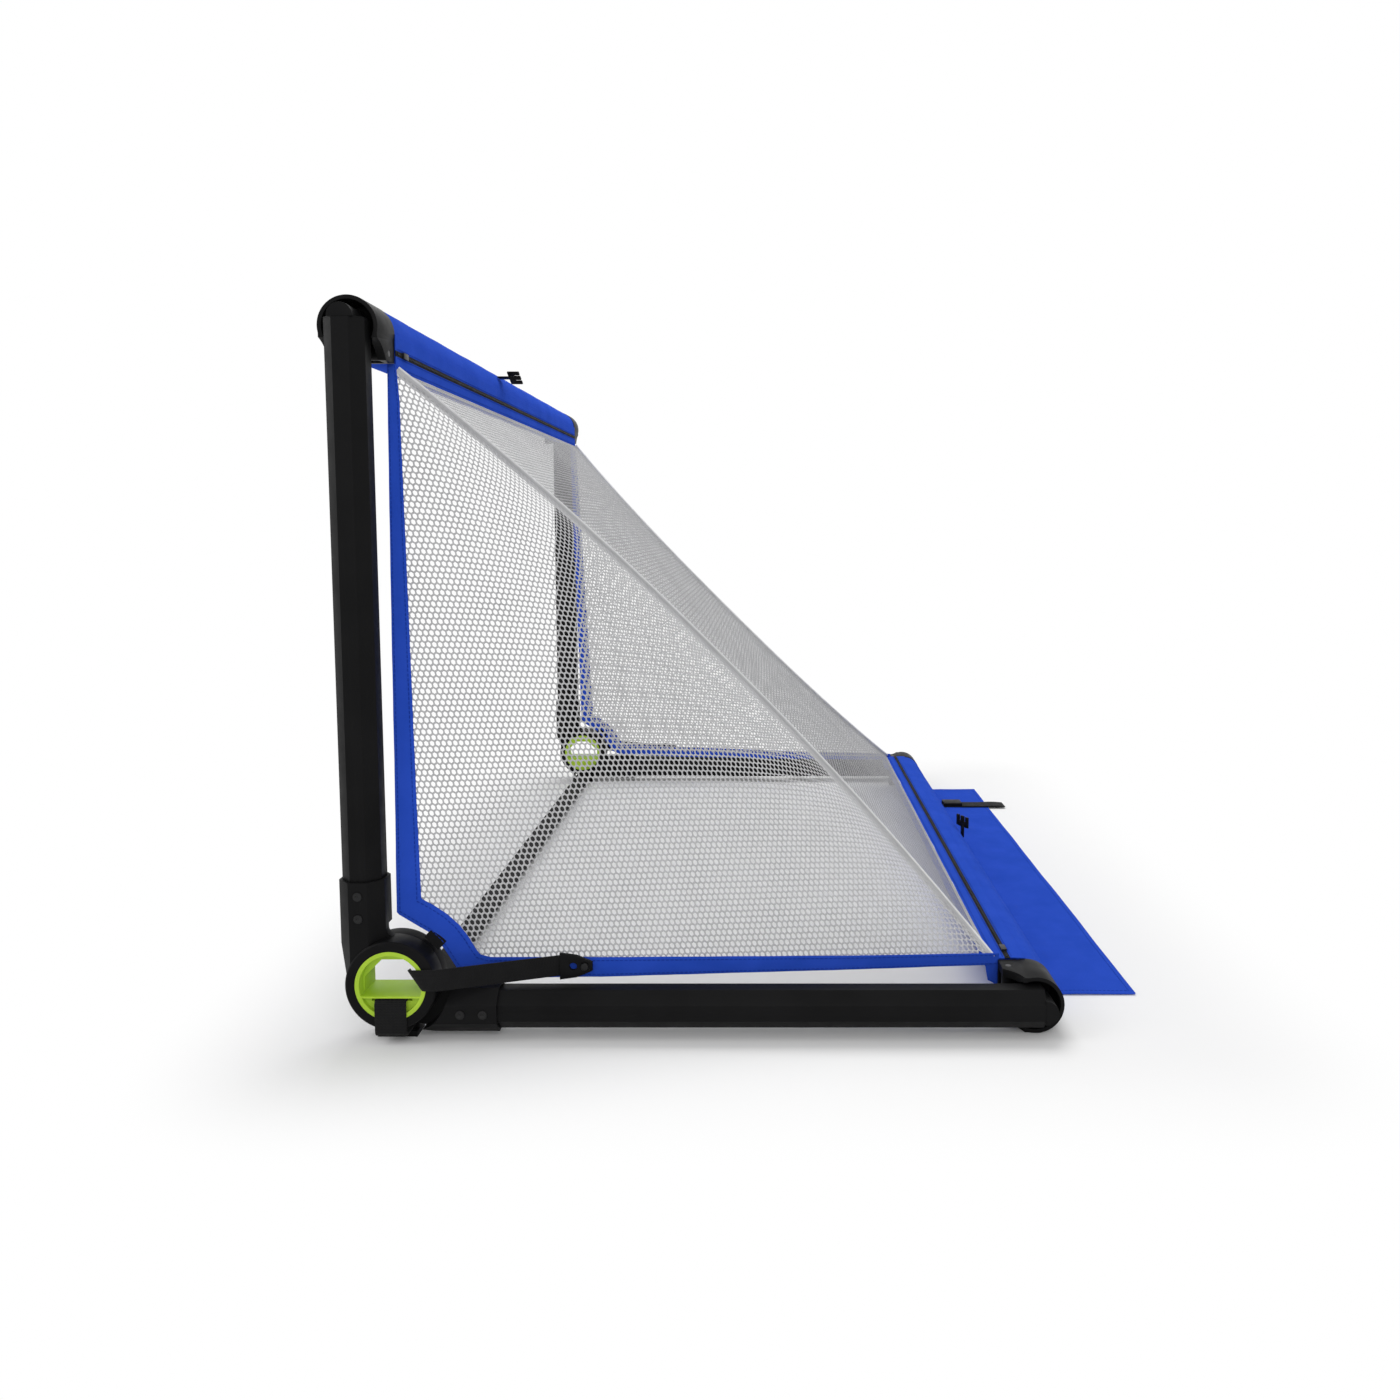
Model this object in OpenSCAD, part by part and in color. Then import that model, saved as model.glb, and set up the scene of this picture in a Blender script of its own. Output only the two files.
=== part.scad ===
// Folding goal: two L-shaped side legs, a crossbar and a rear bar, with a net on fabric sleeves.
// The crossbar frame turns on the two hubs and closes down onto the rear frame.

/* [Goal] */
// Width over the outboard faces of the hubs
goal_w = 1200; // [1000:10:1500]
// Height from the floor to the top of the crossbar
goal_h = 750; // [650:10:900]

/* [Leg tubes] */
// Width of the eight-sided tube across its flats
leg_w = 40; // [36:0.5:40]
// Wall of the leg tube
leg_wall = 2.5; // [1.5:0.5:4]
// Play of a plug or a tube in its seat, all round
seat_play = 0.2; // [0.1:0.05:0.4]

/* [Bars] */
// Radius of the round bar tube
bar_r = 27; // [25:0.5:27]
// Wall of the round bar tube
bar_wall = 2; // [1.5:0.5:4]
// Thickness of the fabric sleeve
sleeve_t = 2; // [1:0.5:2]
// Play between the bar and its sleeve
sleeve_play = 0.3; // [0.2:0.1:0.5]

/* [Corner hoods] */
// Outer radius of the hood at each end of a bar
hood_r = 29.8; // [29.5:0.1:31]
// Wall of the hood
hood_wall = 4; // [3:0.5:4.5]
// Length of the hood from its rim to its inboard end
hood_len = 50; // [48:1:60]
// Thickness of the wall that closes the hood's inboard end
hood_end_t = 6; // [4:0.5:6.5]
// Half width over the hood's flat cheeks
cheek_half = 29; // [27:0.5:29.5]
// Gap between a leg tube and each cheek
cheek_gap = 0.5; // [0.4:0.1:1]
// Radius of the arch cut in the cheeks
arch_r = 40; // [36:1:42]
// Place of the arch's centre outboard of the rim
arch_out = 10; // [8:1:14]
// Place of the arch's centre below the bar's axis
arch_down = 50; // [46:1:54]
// Length of the spigot inside the bar tube
spigot_len = 40; // [25:1:80]
// Wall of the hollow spigot
spigot_wall = 3; // [2:0.5:6]

/* [Corner pins] */
// Radius of the corner pin
pin_r = 3; // [2.5:0.1:4]
// Running clearance round a pin
pin_play = 0.05; // [0.02:0.01:0.1]
// Place of the pin inboard of the leg's axis
pin_in = 34; // [32:0.5:36]
// Place of the pin below the bar's axis, towards the leg
pin_down = 22; // [20:0.5:22]
// Radius of the bosses round the pin
pin_boss_r = 7; // [5.5:0.5:7.5]

/* [Bar ends of the legs] */
// Height of the tube's end above the bar's axis
end_rise = 5; // [2:0.5:7]
// Length of the plug inside the tube, below the bar's axis
plug_len = 44; // [34:1:80]
// Half width of the domed tongue
tongue_half = 12.5; // [9:0.5:14]
// Thickness of the shoulder plate on the tube's end
shoulder_t = 1.5; // [1:0.5:3]
// Width of the lug that reaches the pin
lug_w = 15; // [10:0.5:18]
// Radius of the lug's round end
lug_r = 6; // [5:0.5:7]
// Gap between the lug and the bosses
lug_gap = 0.5; // [0.3:0.1:1]

/* [Hubs] */
// Distance from a leg's axis to the hub's axis
hub_off = 31; // [30.5:0.1:34]
// Outer radius of the hub rings
ring_r = 46; // [44:0.5:50]
// Hub face, outboard of the leg's axis
hub_out = 25.5; // [24:0.5:28]
// Hub face, inboard of the leg's axis
hub_in = 17; // [14:0.5:22]
// Gap between the two knuckles' rings
ring_gap = 0.3; // [0.2:0.1:0.8]
// Bevel round the face of a ring
ring_bevel = 1.5; // [0.5:0.5:2.5]
// Radius of the hub bush
bush_r = 36; // [34:0.5:38]
// Running clearance round the bush
bush_play = 0.06; // [0.02:0.01:0.1]
// Distance from the hub's axis to the socket's mouth
socket_reach = 106; // [96:1:130]
// Width of the eight-sided socket across its flats
socket_w = 46; // [45:0.5:49]
// Distance from the hub's axis to the tube's end in the socket
seat_stop = 62; // [61:1:66]
// Radius round the hub's axis kept free of the other knuckle's socket
relief_r = 58; // [57:0.5:60]
// Distances of the rivets from the hub's axis
rivet_at = [69, 92];
// Radius of a rivet's head
rivet_r = 4.5; // [3:0.5:6]
// Height of a rivet's head
rivet_h = 0.8; // [0.5:0.1:1.5]
// Radius of the fillet between socket and ring
ring_fillet = 8; // [4:0.5:8]
// Height above the hub's axis where the socket's back starts to slope in to the ring
trim_high = 40; // [34:1:44]
// Height above the hub's axis where that slope meets the ring
trim_low = 4; // [0:1:8]

/* [Hub bush] */
// Inner radius of the rim
rim_in_r = 31.6; // [30:0.1:32]
// Depth of the dish behind the rim
dish_depth = 12; // [6:1:16]
// Top of the web, below the hub's axis
web_drop = 10.5; // [8:0.5:12]
// Thickness of the web above the strap slot
web_t = 2; // [1.5:0.5:3]
// Height of the strap slot
slot_h = 4.5; // [3.5:0.5:6]
// Width of the strap slot
slot_w = 41; // [36:1:46]
// Depth of the strap slot and of the pocket beside the strap
slot_depth = 16; // [10:1:24]
// Depth of the pocket
pocket_depth = 5; // [3:0.5:8]
// Half width of the window through the bush
window_half = 30; // [26:0.5:30]
// Top of the window above the hub's axis
window_top = 23.5; // [18:0.5:24]
// Height where the window's corners start
window_shoulder = 5.5; // [2:0.5:10]

/* [Feet] */
// Thickness of the foot plate
foot_t = 6; // [4:0.5:7]
// Half length of the foot along the leg
foot_half = 20.5; // [20:0.5:28]
// Reach of the foot plate outboard of the leg's axis
foot_out = 8; // [4:0.5:16]
// Half width of the strap's way through the foot
foot_way = 17.5; // [17:0.5:18]

/* [Fabric] */
// Thickness of the fabric bands, borders and nets
cloth_t = 1.2; // [0.8:0.1:1.4]
// Gap between layers of cloth
cloth_gap = 0.3; // [0.1:0.1:0.5]
// Width of a band from the bar's axis to its free edge
band_w = 36; // [32:1:60]
// Place of the zip below the bar's axis
zip_at = 19; // [16:0.5:26]
// Width of the zip's tape
zip_w = 6; // [4:0.5:8]
// Distance from a side net to the hub's outboard face
side_in = 34.5; // [32:0.5:40]
// Width of a side border
border_w = 19; // [14:0.5:26]
// Gap between the post's axis and the front border
border_front = 31; // [28:0.5:40]
// Gap between the ground leg's axis and the lower border
border_low = 29; // [27:0.5:40]
// Length of the cut corner round a hub
border_cut = 72; // [60:1:80]
// How far each side of the back net draws in at its waist
waist_in = 220; // [0:10:260]
// How sharply a side net curves in next to the seam
side_hollow = 2.4; // [1.6:0.1:4]
// Pitch of the openings that stand for the net's mesh
mesh_pitch = 91; // [90:1:140]
// Width of the net left between two openings
mesh_cord = 28; // [20:1:40]
// Length of the tab that ties the border to the hub
tab_len = 22; // [16:1:26]
// Width of that tab
tab_w = 18; // [10:1:20]

/* [Flap] */
// Length of the flap behind the rear bar's axis
flap_reach = 135; // [100:1:200]
// Half width of the flap
flap_half = 482; // [300:1:482]
// Place of the flap's seam outboard of the hood
seam_out = 4.6; // [4.4:0.1:6]
// Height of the flap's underside
flap_lift = 0.3; // [0.1:0.1:1]
// Thickness of the flap
flap_t = 2; // [1.5:0.5:3]

/* [Straps] */
// Width of the floor strap and of the flap strap
strap_w = 32; // [25:0.5:33]
// Thickness of webbing
strap_t = 2; // [1:0.2:2]
// Width of the tension strap
pull_w = 22; // [15:0.5:22]
// Height of the floor strap above the floor
floor_strap_z = 8.5; // [8:0.1:10]
// Place of the tension strap's end along the ground leg, from the hub's axis
pull_reach = 164.5; // [120:0.5:220]
// Place of the tension strap's start, from the hub's axis
pull_start = 21.5; // [16:0.5:21.5]
// Height of the tension strap's middle above the hub's axis
pull_rise = 6.4; // [6:0.1:16]
// Length of the strap fitting
fitting_len = 34; // [28:1:45]
// Width of the strap fitting
fitting_w = 28; // [24:0.5:32]
// Thickness of the strap fitting
fitting_t = 4; // [3:0.5:5]
// Radius of the stud that the fitting hooks on
stud_r = 4; // [3:0.5:5]
// How far the stud stands out of the fitting
stud_rise = 2; // [1:0.5:4]
// Side place of the flap strap
flap_strap_x = -355; // [-420:5:-300]
// Length of the flap strap
flap_strap_len = 114; // [90:1:140]
// How far the flap strap runs past the flap
flap_strap_over = 31; // [10:1:50]

/* [Buckles and sliders] */
// Length of a buckle
buckle_len = 34; // [28:1:40]
// Width of a buckle
buckle_w = 30; // [26:0.5:34]
// Thickness of a buckle
buckle_t = 6; // [5:0.5:8]
// Wall of the female buckle at its mouth
buckle_wall = 3; // [2:0.5:5]
// Gap between the prongs of a fork
prong_gap = 4; // [3:0.5:5]
// Side place of the crossbar's buckle
top_buckle_x = 60; // [0:5:200]
// Where the crossbar's fork leaves its sleeve, in degrees round the bar
top_fork_turn = 54; // [30:1:60]
// Twist of that fork about its own length, in degrees
top_fork_twist = 25; // [0:1:40]
// Side place of the rear bar's buckle
rear_buckle_x = -20; // [-200:5:100]
// Where the rear bar's fork leaves its sleeve, in degrees round the bar
rear_fork_turn = 20; // [5:1:60]
// Twist of the rear fork about its own length, in degrees
rear_fork_twist = 25; // [0:1:30]
// Length of a zip slider
slider_len = 14; // [10:0.5:20]
// Height of a zip slider
slider_h = 2.4; // [1.5:0.1:2.8]
// Distance of both zip sliders from the bar's right end
slider_in = 24.5; // [20:0.5:120]

/* [Hidden] */

$fn = 96;
RIGHT = 1;
LEFT = -1;
BLACK = "#202124";
BLUE = "#2348b4";
LIME = "#b9e03a";
WHITE = "#e8eaee";

// leg and bar axes
leg_x = goal_w / 2 - hub_out;
leg_z = hood_r;
bar_z = goal_h - hood_r;
arm = bar_z - leg_z - hub_off;
rear_reach = arm + hub_off + flap_reach + flap_strap_over;
front_y = -(rear_reach - hood_r) / 2;
rear_y = front_y + arm + hub_off;
hub_y = front_y + hub_off;
hub_z = leg_z + hub_off;
floor_z = -leg_z;

// seats and reaches that follow from them
slot_half = leg_w / 2 + cheek_gap;
lug_half = lug_w / 2;
bar_half = leg_x - hood_len;
sleeve_in = bar_r + sleeve_play;
sleeve_r = sleeve_in + sleeve_t;
plug_w = leg_w - 2 * leg_wall - 2 * seat_play;
side_x = goal_w / 2 - side_in;
band_at = sleeve_r + cloth_gap;
cloth_half = bar_half - cloth_gap;
skin = 0.1;
over = 1;
seam_y = rear_y + hood_r + seam_out;

// the slope runs from the crossbar's band to the rear band; depth is measured square to it,
// towards the hubs
net_top = bar_z - band_w;
net_front = front_y + border_front;
net_low = leg_z + border_low;
net_rear = rear_y - band_w;
slope_y = front_y + band_at + cloth_t;
slope_z = net_top - cloth_gap;
slope_len = (net_rear - cloth_gap - slope_y) * sqrt(2);
hole = mesh_pitch - mesh_cord;
mesh_steps = 24;
mesh_rings = 8;
side_rim = border_w / 2;
first_place = (net_front + border_w - slope_y) * sqrt(2);
last_place = (slope_z - net_low - border_w) * sqrt(2);
function depth_at(y, z) = (slope_y + slope_z - y - z) / sqrt(2);
function waist(share) = waist_in * (1 - pow(2 * share - 1, 2));

// the borders lean in from the hubs to the ends of the bands
lean = (side_x - cloth_half) / depth_at(hub_y + border_cut, net_low);
function border_face(y, z) = cloth_half + cloth_gap + cloth_t + lean * depth_at(y, z);
fitting_base = border_face(hub_y + pull_reach, hub_z + pull_rise - fitting_w / 2) + cloth_gap;

// ---- placing -------------------------------------------------------------------------
module sided(side) {
    if (side == RIGHT) children();
    else mirror([1, 0, 0]) children();
}

// leg frame: +X outboard, +Y into the goal, -Z down the leg, origin where leg and bar axes cross
module on_post(side) {
    sided(side) translate([leg_x, front_y, bar_z]) children();
}

module on_ground(side) {
    sided(side) translate([leg_x, rear_y, leg_z]) mirror([0, 1, -1]) children();
}

module on_hub(side) {
    sided(side) translate([leg_x, hub_y, hub_z]) children();
}

module along_x(from, to) {
    translate([from, 0, 0]) rotate([90, 0, 90]) linear_extrude(to - from) children();
}

module along_y(half) {
    rotate([90, 0, 0]) linear_extrude(2 * half, center = true) children();
}

module octagon(flats) {
    rotate(22.5) circle(d = flats / cos(22.5), $fn = 8);
}

// ---- bars ----------------------------------------------------------------------------
module bar_tube() {
    color("#9a9da2") along_x(-bar_half, bar_half) difference() {
        circle(bar_r);
        circle(bar_r - bar_wall);
    }
}

module bar_sleeve() {
    color(BLUE) along_x(-cloth_half, cloth_half) difference() {
        circle(sleeve_r);
        circle(sleeve_in);
    }
}

// strip of cloth that leaves the sleeve at a tangent and carries the net, with a way for the zip
module bar_band() {
    color(BLUE) difference() {
        translate([-cloth_half, band_at, -band_w]) cube([2 * cloth_half, cloth_t, band_w]);
        zip_way(cloth_gap);
    }
}

module zip_way(play) {
    translate([-cloth_half - skin, band_at - skin, -zip_at - zip_w / 2 - play])
        cube([2 * (cloth_half + skin), cloth_t + 2 * skin, zip_w + 2 * play]);
}

module bar_zip() {
    color(BLACK) translate([-cloth_half, band_at, -zip_at - zip_w / 2])
        cube([2 * cloth_half, cloth_t, zip_w]);
}

module zip_slider() {
    color(BLACK) translate([bar_half - slider_in, band_at + cloth_t + cloth_gap, -zip_at]) difference() {
        translate([-slider_len / 2, 0, -zip_w / 2]) cube([slider_len, slider_h, zip_w]);
        translate([slider_len / 5, slider_h / 2, 0])
            cylinder(r = slider_h / 4, h = zip_w + over, center = true);
    }
}

module on_crossbar() {
    translate([0, front_y, bar_z]) children();
}

module on_rear_bar() {
    translate([0, rear_y, leg_z]) mirror([0, 1, -1]) children();
}

// ---- corner hoods --------------------------------------------------------------------
module at_pin() {
    translate([-pin_in, 0, -pin_down]) children();
}

module hood_shell() {
    difference() {
        union() {
            along_x(-hood_len, 0) circle(hood_r);
            translate([-hood_len, -cheek_half, -hood_r])
                cube([hood_len, 2 * cheek_half, hood_r]);
        }
        along_x(hood_end_t - hood_len, skin) circle(hood_r - hood_wall);
        translate([hood_end_t - hood_len, -slot_half, -hood_r - skin])
            cube([hood_len, 2 * slot_half, hood_r + skin]);
        translate([arch_out, 0, -arch_down]) along_y(hood_r + over) circle(arch_r);
    }
}

module hood_spigot() {
    along_x(-hood_len - spigot_len, -hood_len) difference() {
        circle(bar_r - bar_wall - seat_play);
        circle(bar_r - bar_wall - seat_play - spigot_wall);
    }
}

module pin_bosses() {
    for (side = [-1, 1])
        at_pin() translate([0, side * (slot_half + lug_half + lug_gap) / 2, 0])
            along_y((slot_half - lug_half - lug_gap) / 2 + skin) circle(pin_boss_r);
}

module bar_hood() {
    color(BLACK) difference() {
        union() {
            hood_shell();
            hood_spigot();
            pin_bosses();
        }
        at_pin() along_y(hood_r + over) circle(pin_r + pin_play);
    }
}

module corner_pin() {
    color("#8f9297") at_pin() along_y(cheek_half) circle(pin_r);
}

// ---- legs ----------------------------------------------------------------------------
module rivet_holes() {
    for (reach = rivet_at)
        translate([0, 0, reach - arm]) rotate([0, 90, 0])
            cylinder(r = rivet_r / 2 + pin_play, h = socket_w);
}

module leg_tube() {
    color(BLACK) difference() {
        translate([0, 0, seat_stop - arm]) linear_extrude(arm - seat_stop + end_rise) difference() {
            octagon(leg_w);
            octagon(leg_w - 2 * leg_wall);
        }
        translate([-leg_w / 2 - skin, -lug_half - cheek_gap, -pin_down - lug_r - cheek_gap])
            cube([2 * leg_wall, lug_w + 2 * cheek_gap, pin_down + lug_r + end_rise + over]);
        rivet_holes();
    }
}

module end_tongue() {
    top = end_rise + shoulder_t;
    translate([0, 0, end_rise]) linear_extrude(shoulder_t) octagon(leg_w);
    along_x(-leg_w / 2, leg_w / 2) intersection() {
        translate([0, top]) circle(tongue_half);
        translate([-tongue_half, top - shoulder_t / 2]) square(2 * tongue_half);
    }
}

module end_lug() {
    translate([-pin_in, -lug_half, -pin_down - lug_r]) cube([pin_in, lug_w, 2 * lug_r]);
    at_pin() along_y(lug_half) circle(lug_r);
}

module leg_end() {
    color(BLACK) difference() {
        union() {
            translate([0, 0, -plug_len]) linear_extrude(plug_len + end_rise) octagon(plug_w);
            end_tongue();
            end_lug();
        }
        at_pin() along_y(lug_half + over) circle(pin_r + pin_play);
    }
}

// ---- hubs ----------------------------------------------------------------------------
module at_hub_axis() {
    translate([0, hub_off, -arm]) children();
}

// eight-sided socket, trimmed to run into the ring
module socket_block() {
    mouth = socket_reach - arm;
    intersection() {
        translate([0, 0, -arm]) linear_extrude(socket_reach) octagon(socket_w);
        along_x(-socket_w, socket_w) polygon([
            [-socket_w, mouth + over], [-socket_w, hub_off - arm], [-socket_w / 2, trim_high - arm],
            [hub_off - ring_r, trim_low - arm], [hub_off, -arm], [hub_off, mouth + over]
        ]);
    }
}

module ring_fillet_web() {
    top = ring_r + ring_fillet;
    root = ring_fillet / 3;
    difference() {
        translate([hub_off - ring_fillet - root, ring_r - root - arm])
            square([ring_fillet + root, ring_fillet + root]);
        translate([hub_off, top - arm]) circle(ring_fillet);
    }
}

// knuckle whose ring fills the hub from ring_from to ring_to, measured outboard of the leg's axis
module knuckle(ring_from, ring_to, free_from, free_to, bevel_out) {
    difference() {
        union() {
            difference() {
                socket_block();
                at_hub_axis() along_x(free_from, free_to) circle(relief_r);
            }
            at_hub_axis() knuckle_ring(ring_from, ring_to, bevel_out);
            along_x(max(ring_from, -socket_w / 5), min(ring_to, socket_w / 5)) ring_fillet_web();
        }
        at_hub_axis() along_x(-socket_w, socket_w) circle(bush_r + bush_play);
        translate([0, 0, seat_stop - arm]) linear_extrude(socket_reach) octagon(leg_w + 2 * seat_play);
        rivet_holes();
    }
}

module knuckle_ring(ring_from, ring_to, bevel_out) {
    rotate([0, 90, 0]) if (bevel_out) {
        translate([0, 0, ring_from]) cylinder(r = ring_r, h = ring_to - ring_bevel - ring_from);
        translate([0, 0, ring_to - ring_bevel])
            cylinder(r1 = ring_r, r2 = ring_r - ring_bevel, h = ring_bevel);
    } else {
        translate([0, 0, ring_from + ring_bevel])
            cylinder(r = ring_r, h = ring_to - ring_bevel - ring_from);
        translate([0, 0, ring_from])
            cylinder(r1 = ring_r - ring_bevel, r2 = ring_r, h = ring_bevel);
    }
}

module post_knuckle() {
    color(BLACK) knuckle(ring_gap / 2, hub_out, -socket_w, ring_gap / 2, true);
}

// foot under the hub: two pads beside the strap and a plate below it
module hub_foot() {
    translate([0, floor_z, -arm]) difference() {
        translate([-hub_in, 0, -foot_half])
            cube([hub_in - ring_gap / 2, leg_z - strap_t, 2 * foot_half]);
        translate([-hub_in - over, foot_t, -foot_way]) cube([2 * hub_in, leg_z, 2 * foot_way]);
    }
    translate([-hub_in, floor_z, -foot_half - arm]) cube([hub_in + foot_out, foot_t, 2 * foot_half]);
}

module ground_knuckle() {
    color(BLACK) difference() {
        union() {
            knuckle(-hub_in, -ring_gap / 2, -ring_gap / 2, socket_w, false);
            hub_foot();
        }
        at_hub_axis() along_x(-socket_w, socket_w) circle(bush_r + bush_play);
    }
}

module leg_rivets() {
    shank = (socket_w - leg_w) / 2 + leg_wall;
    color("#3a3c40") for (reach = rivet_at)
        translate([socket_w / 2, 0, reach - arm]) rotate([0, 90, 0]) {
            cylinder(r = rivet_r, h = rivet_h);
            translate([0, 0, -shank]) cylinder(r = rivet_r / 2, h = shank);
        }
}

module hub_bush() {
    slot_top = -web_drop - web_t;
    window_crown = window_half - (window_top - window_shoulder);
    color(LIME) difference() {
        along_x(-hub_in, hub_out) circle(bush_r);
        along_x(-hub_in - over, hub_out + over) polygon([
            [-window_half, -web_drop], [-window_half, window_shoulder],
            [-window_crown, window_top], [window_crown, window_top],
            [window_half, window_shoulder], [window_half, -web_drop]
        ]);
        along_x(hub_out - dish_depth, hub_out + over) intersection() {
            circle(rim_in_r);
            translate([-bush_r, -web_drop]) square([2 * bush_r, bush_r + web_drop]);
        }
        along_x(hub_out - pocket_depth, hub_out + over) intersection() {
            circle(rim_in_r);
            translate([-bush_r, -bush_r]) square([2 * bush_r, bush_r + slot_top]);
        }
        translate([hub_out - slot_depth, -slot_w / 2, slot_top - slot_h])
            cube([slot_depth + over, slot_w, slot_h]);
    }
}

// ---- straps --------------------------------------------------------------------------
// floor strap: from one bush, down its face, across the mouth and up to the other bush
module floor_strap() {
    face_x = leg_x + hub_out + cloth_gap;
    tail_z = hub_z - web_drop - web_t - slot_h / 2 - strap_t / 2;
    color(BLACK) translate([0, hub_y - strap_w / 2, 0]) {
        translate([-face_x, 0, floor_strap_z]) cube([2 * face_x, strap_w, strap_t]);
        for (side = [RIGHT, LEFT])
            sided(side) {
                translate([face_x, 0, floor_strap_z])
                    cube([strap_t, strap_w, tail_z + strap_t - floor_strap_z]);
                translate([face_x - slot_depth / 2, 0, tail_z])
                    cube([slot_depth / 2 + strap_t, strap_w, strap_t]);
            }
    }
}

// tension strap: out of the bush, over the ring's face and in to the side border, seen from above
module tension_strap() {
    face = hub_out + cloth_gap;
    ring_edge = ring_r + 2;
    end_x = fitting_base - leg_x;
    color(BLACK) on_hub(RIGHT) translate([0, 0, pull_rise - pull_w / 2]) linear_extrude(pull_w) polygon([
        [face - slot_depth / 2, pull_start], [face - slot_depth / 2, pull_start + strap_t],
        [face, pull_start + strap_t], [face, ring_edge], [end_x, pull_reach],
        [end_x + strap_t, pull_reach], [face + strap_t, ring_edge], [face + strap_t, pull_start]
    ]);
}

module strap_fitting() {
    base_x = fitting_base - leg_x;
    wide = fitting_w / 2;
    thin = fitting_w / 6;
    color(BLACK) on_hub(RIGHT) translate([0, pull_reach + cloth_gap, pull_rise])
        along_x(base_x, base_x + fitting_t) difference() {
            polygon([
                [0, -wide], [0, wide], [fitting_len / 2, wide - thin / 2], [fitting_len, thin],
                [fitting_len, -thin], [fitting_len / 2, thin / 2 - wide]
            ]);
            translate([fitting_len - 2 * stud_r, 0]) circle(stud_r + cloth_gap);
            translate([fitting_len - 5 * stud_r, 0]) circle(stud_r);
        }
}

module strap_stud() {
    stud_at = pull_reach + cloth_gap + fitting_len - 2 * stud_r;
    root = border_face(hub_y + stud_at - stud_r, hub_z + pull_rise - stud_r) + cloth_gap;
    color("#3a3c40") on_hub(RIGHT) translate([0, stud_at, pull_rise])
        along_x(root - leg_x, fitting_base + fitting_t + stud_rise - leg_x) circle(stud_r);
}

// ---- nets ----------------------------------------------------------------------------
module on_slope() {
    translate([0, slope_y, slope_z]) rotate([-45, 0, 0]) children();
}

module on_side_plane() {
    translate([cloth_half + cloth_gap, slope_y, slope_z]) rotate(a = -atan(lean), v = [0, 1, -1])
        translate([0, -slope_y, -slope_z]) children();
}

module side_outline() {
    polygon([
        [net_front, net_top], [net_front, hub_z + border_cut],
        [hub_y + border_cut, net_low], [net_rear, net_low]
    ]);
}

// openings of a side net, whole squares between the border and the seam
module side_mesh() {
    from_y = net_front + border_w + mesh_cord / 2;
    from_z = net_low + border_w + mesh_cord / 2;
    corner = hub_y + border_cut + border_w / 2 + net_low + border_w + mesh_cord;
    for (y = [from_y : mesh_pitch : net_rear], z = [from_z : mesh_pitch : net_top])
        if (y + z > corner && depth_at(y + hole, z + hole) > mesh_cord / 2)
            translate([y, z]) square(hole);
}

// greatest depth of a side net at a place down the slope
function rim_depth(place) = min(
    place - (net_front + side_rim - slope_y) * sqrt(2),
    (slope_z - net_low - side_rim) * sqrt(2) - place,
    depth_at(hub_y + border_cut + side_rim / 2, net_low + side_rim)
);

// point of a side net, ring 0 at the seam and the last ring under the border
function side_point(step, ring, inward) =
    let (place = first_place + (last_place - first_place) * step / mesh_steps)
    let (share = ring / mesh_rings, depth = rim_depth(place) * share * share)
    let (draw = waist(place / slope_len) - cloth_t - cloth_gap)
    [
        cloth_half + lean * depth - draw * pow(1 - share * share, side_hollow) - inward,
        slope_y + (place - depth) / sqrt(2),
        slope_z - (place + depth) / sqrt(2)
    ];

module side_sheet() {
    row = mesh_rings + 1;
    layer = row * (mesh_steps + 1);
    sides = [[0, 1], [layer, -1]];
    points = [
        for (inward = [0, cloth_t], step = [0 : mesh_steps], ring = [0 : mesh_rings])
            side_point(step, ring, inward)
    ];
    skins = [
        for (side = sides, step = [0 : mesh_steps - 1], ring = [0 : mesh_rings - 1], half = [0, 1])
            let (at = side[0] + step * row + ring)
            let (tri = half == 0 ? [at, at + row, at + row + 1] : [at, at + row + 1, at + 1])
            side[1] > 0 ? tri : [tri[2], tri[1], tri[0]]
    ];
    long_rims = [
        for (ring = [0, mesh_rings], step = [0 : mesh_steps - 1])
            let (a = step * row + ring, b = a + row)
            ring == 0 ? [a, a + layer, b + layer, b] : [a, b, b + layer, a + layer]
    ];
    end_rims = [
        for (step = [0, mesh_steps], ring = [0 : mesh_rings - 1])
            let (a = step * row + ring, b = a + 1)
            step == 0 ? [a, b, b + layer, a + layer] : [a, a + layer, b + layer, b]
    ];
    polyhedron(points = points, faces = concat(skins, long_rims, end_rims), convexity = 6);
}

module net_side() {
    color(WHITE) difference() {
        side_sheet();
        along_x(0, goal_w) side_mesh();
    }
}

module net_border() {
    color(BLUE) on_side_plane() along_x(0, cloth_t) difference() {
        side_outline();
        polygon([
            [net_front + border_w, 2 * goal_h],
            [net_front + border_w, hub_z + border_cut + border_w / 2],
            [hub_y + border_cut + border_w / 2, net_low + border_w],
            [2 * goal_h, net_low + border_w]
        ]);
    }
}

// half of the back net's outline from one band to the other, drawn in at the waist
function waist_edge(side) = [
    for (step = [0 : mesh_steps])
        let (share = side == RIGHT ? step / mesh_steps : 1 - step / mesh_steps)
        [side * (cloth_half - waist(share)), share * slope_len]
];

// openings of the back net, whole squares in even rows down its slope
module back_mesh() {
    across = floor((2 * cloth_half - mesh_cord) / mesh_pitch);
    down = floor((slope_len - mesh_cord) / mesh_pitch);
    first = -(across * mesh_pitch - mesh_cord) / 2;
    top = (slope_len - down * mesh_pitch + mesh_cord) / 2;
    for (column = [0 : across - 1], row = [0 : down - 1]) {
        x = first + column * mesh_pitch;
        y = top + row * mesh_pitch;
        narrow = max(waist(y / slope_len), waist((y + hole) / slope_len));
        if (max(abs(x), abs(x + hole)) < cloth_half - narrow - mesh_cord / 2)
            translate([x, y]) square(hole);
    }
}

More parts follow.
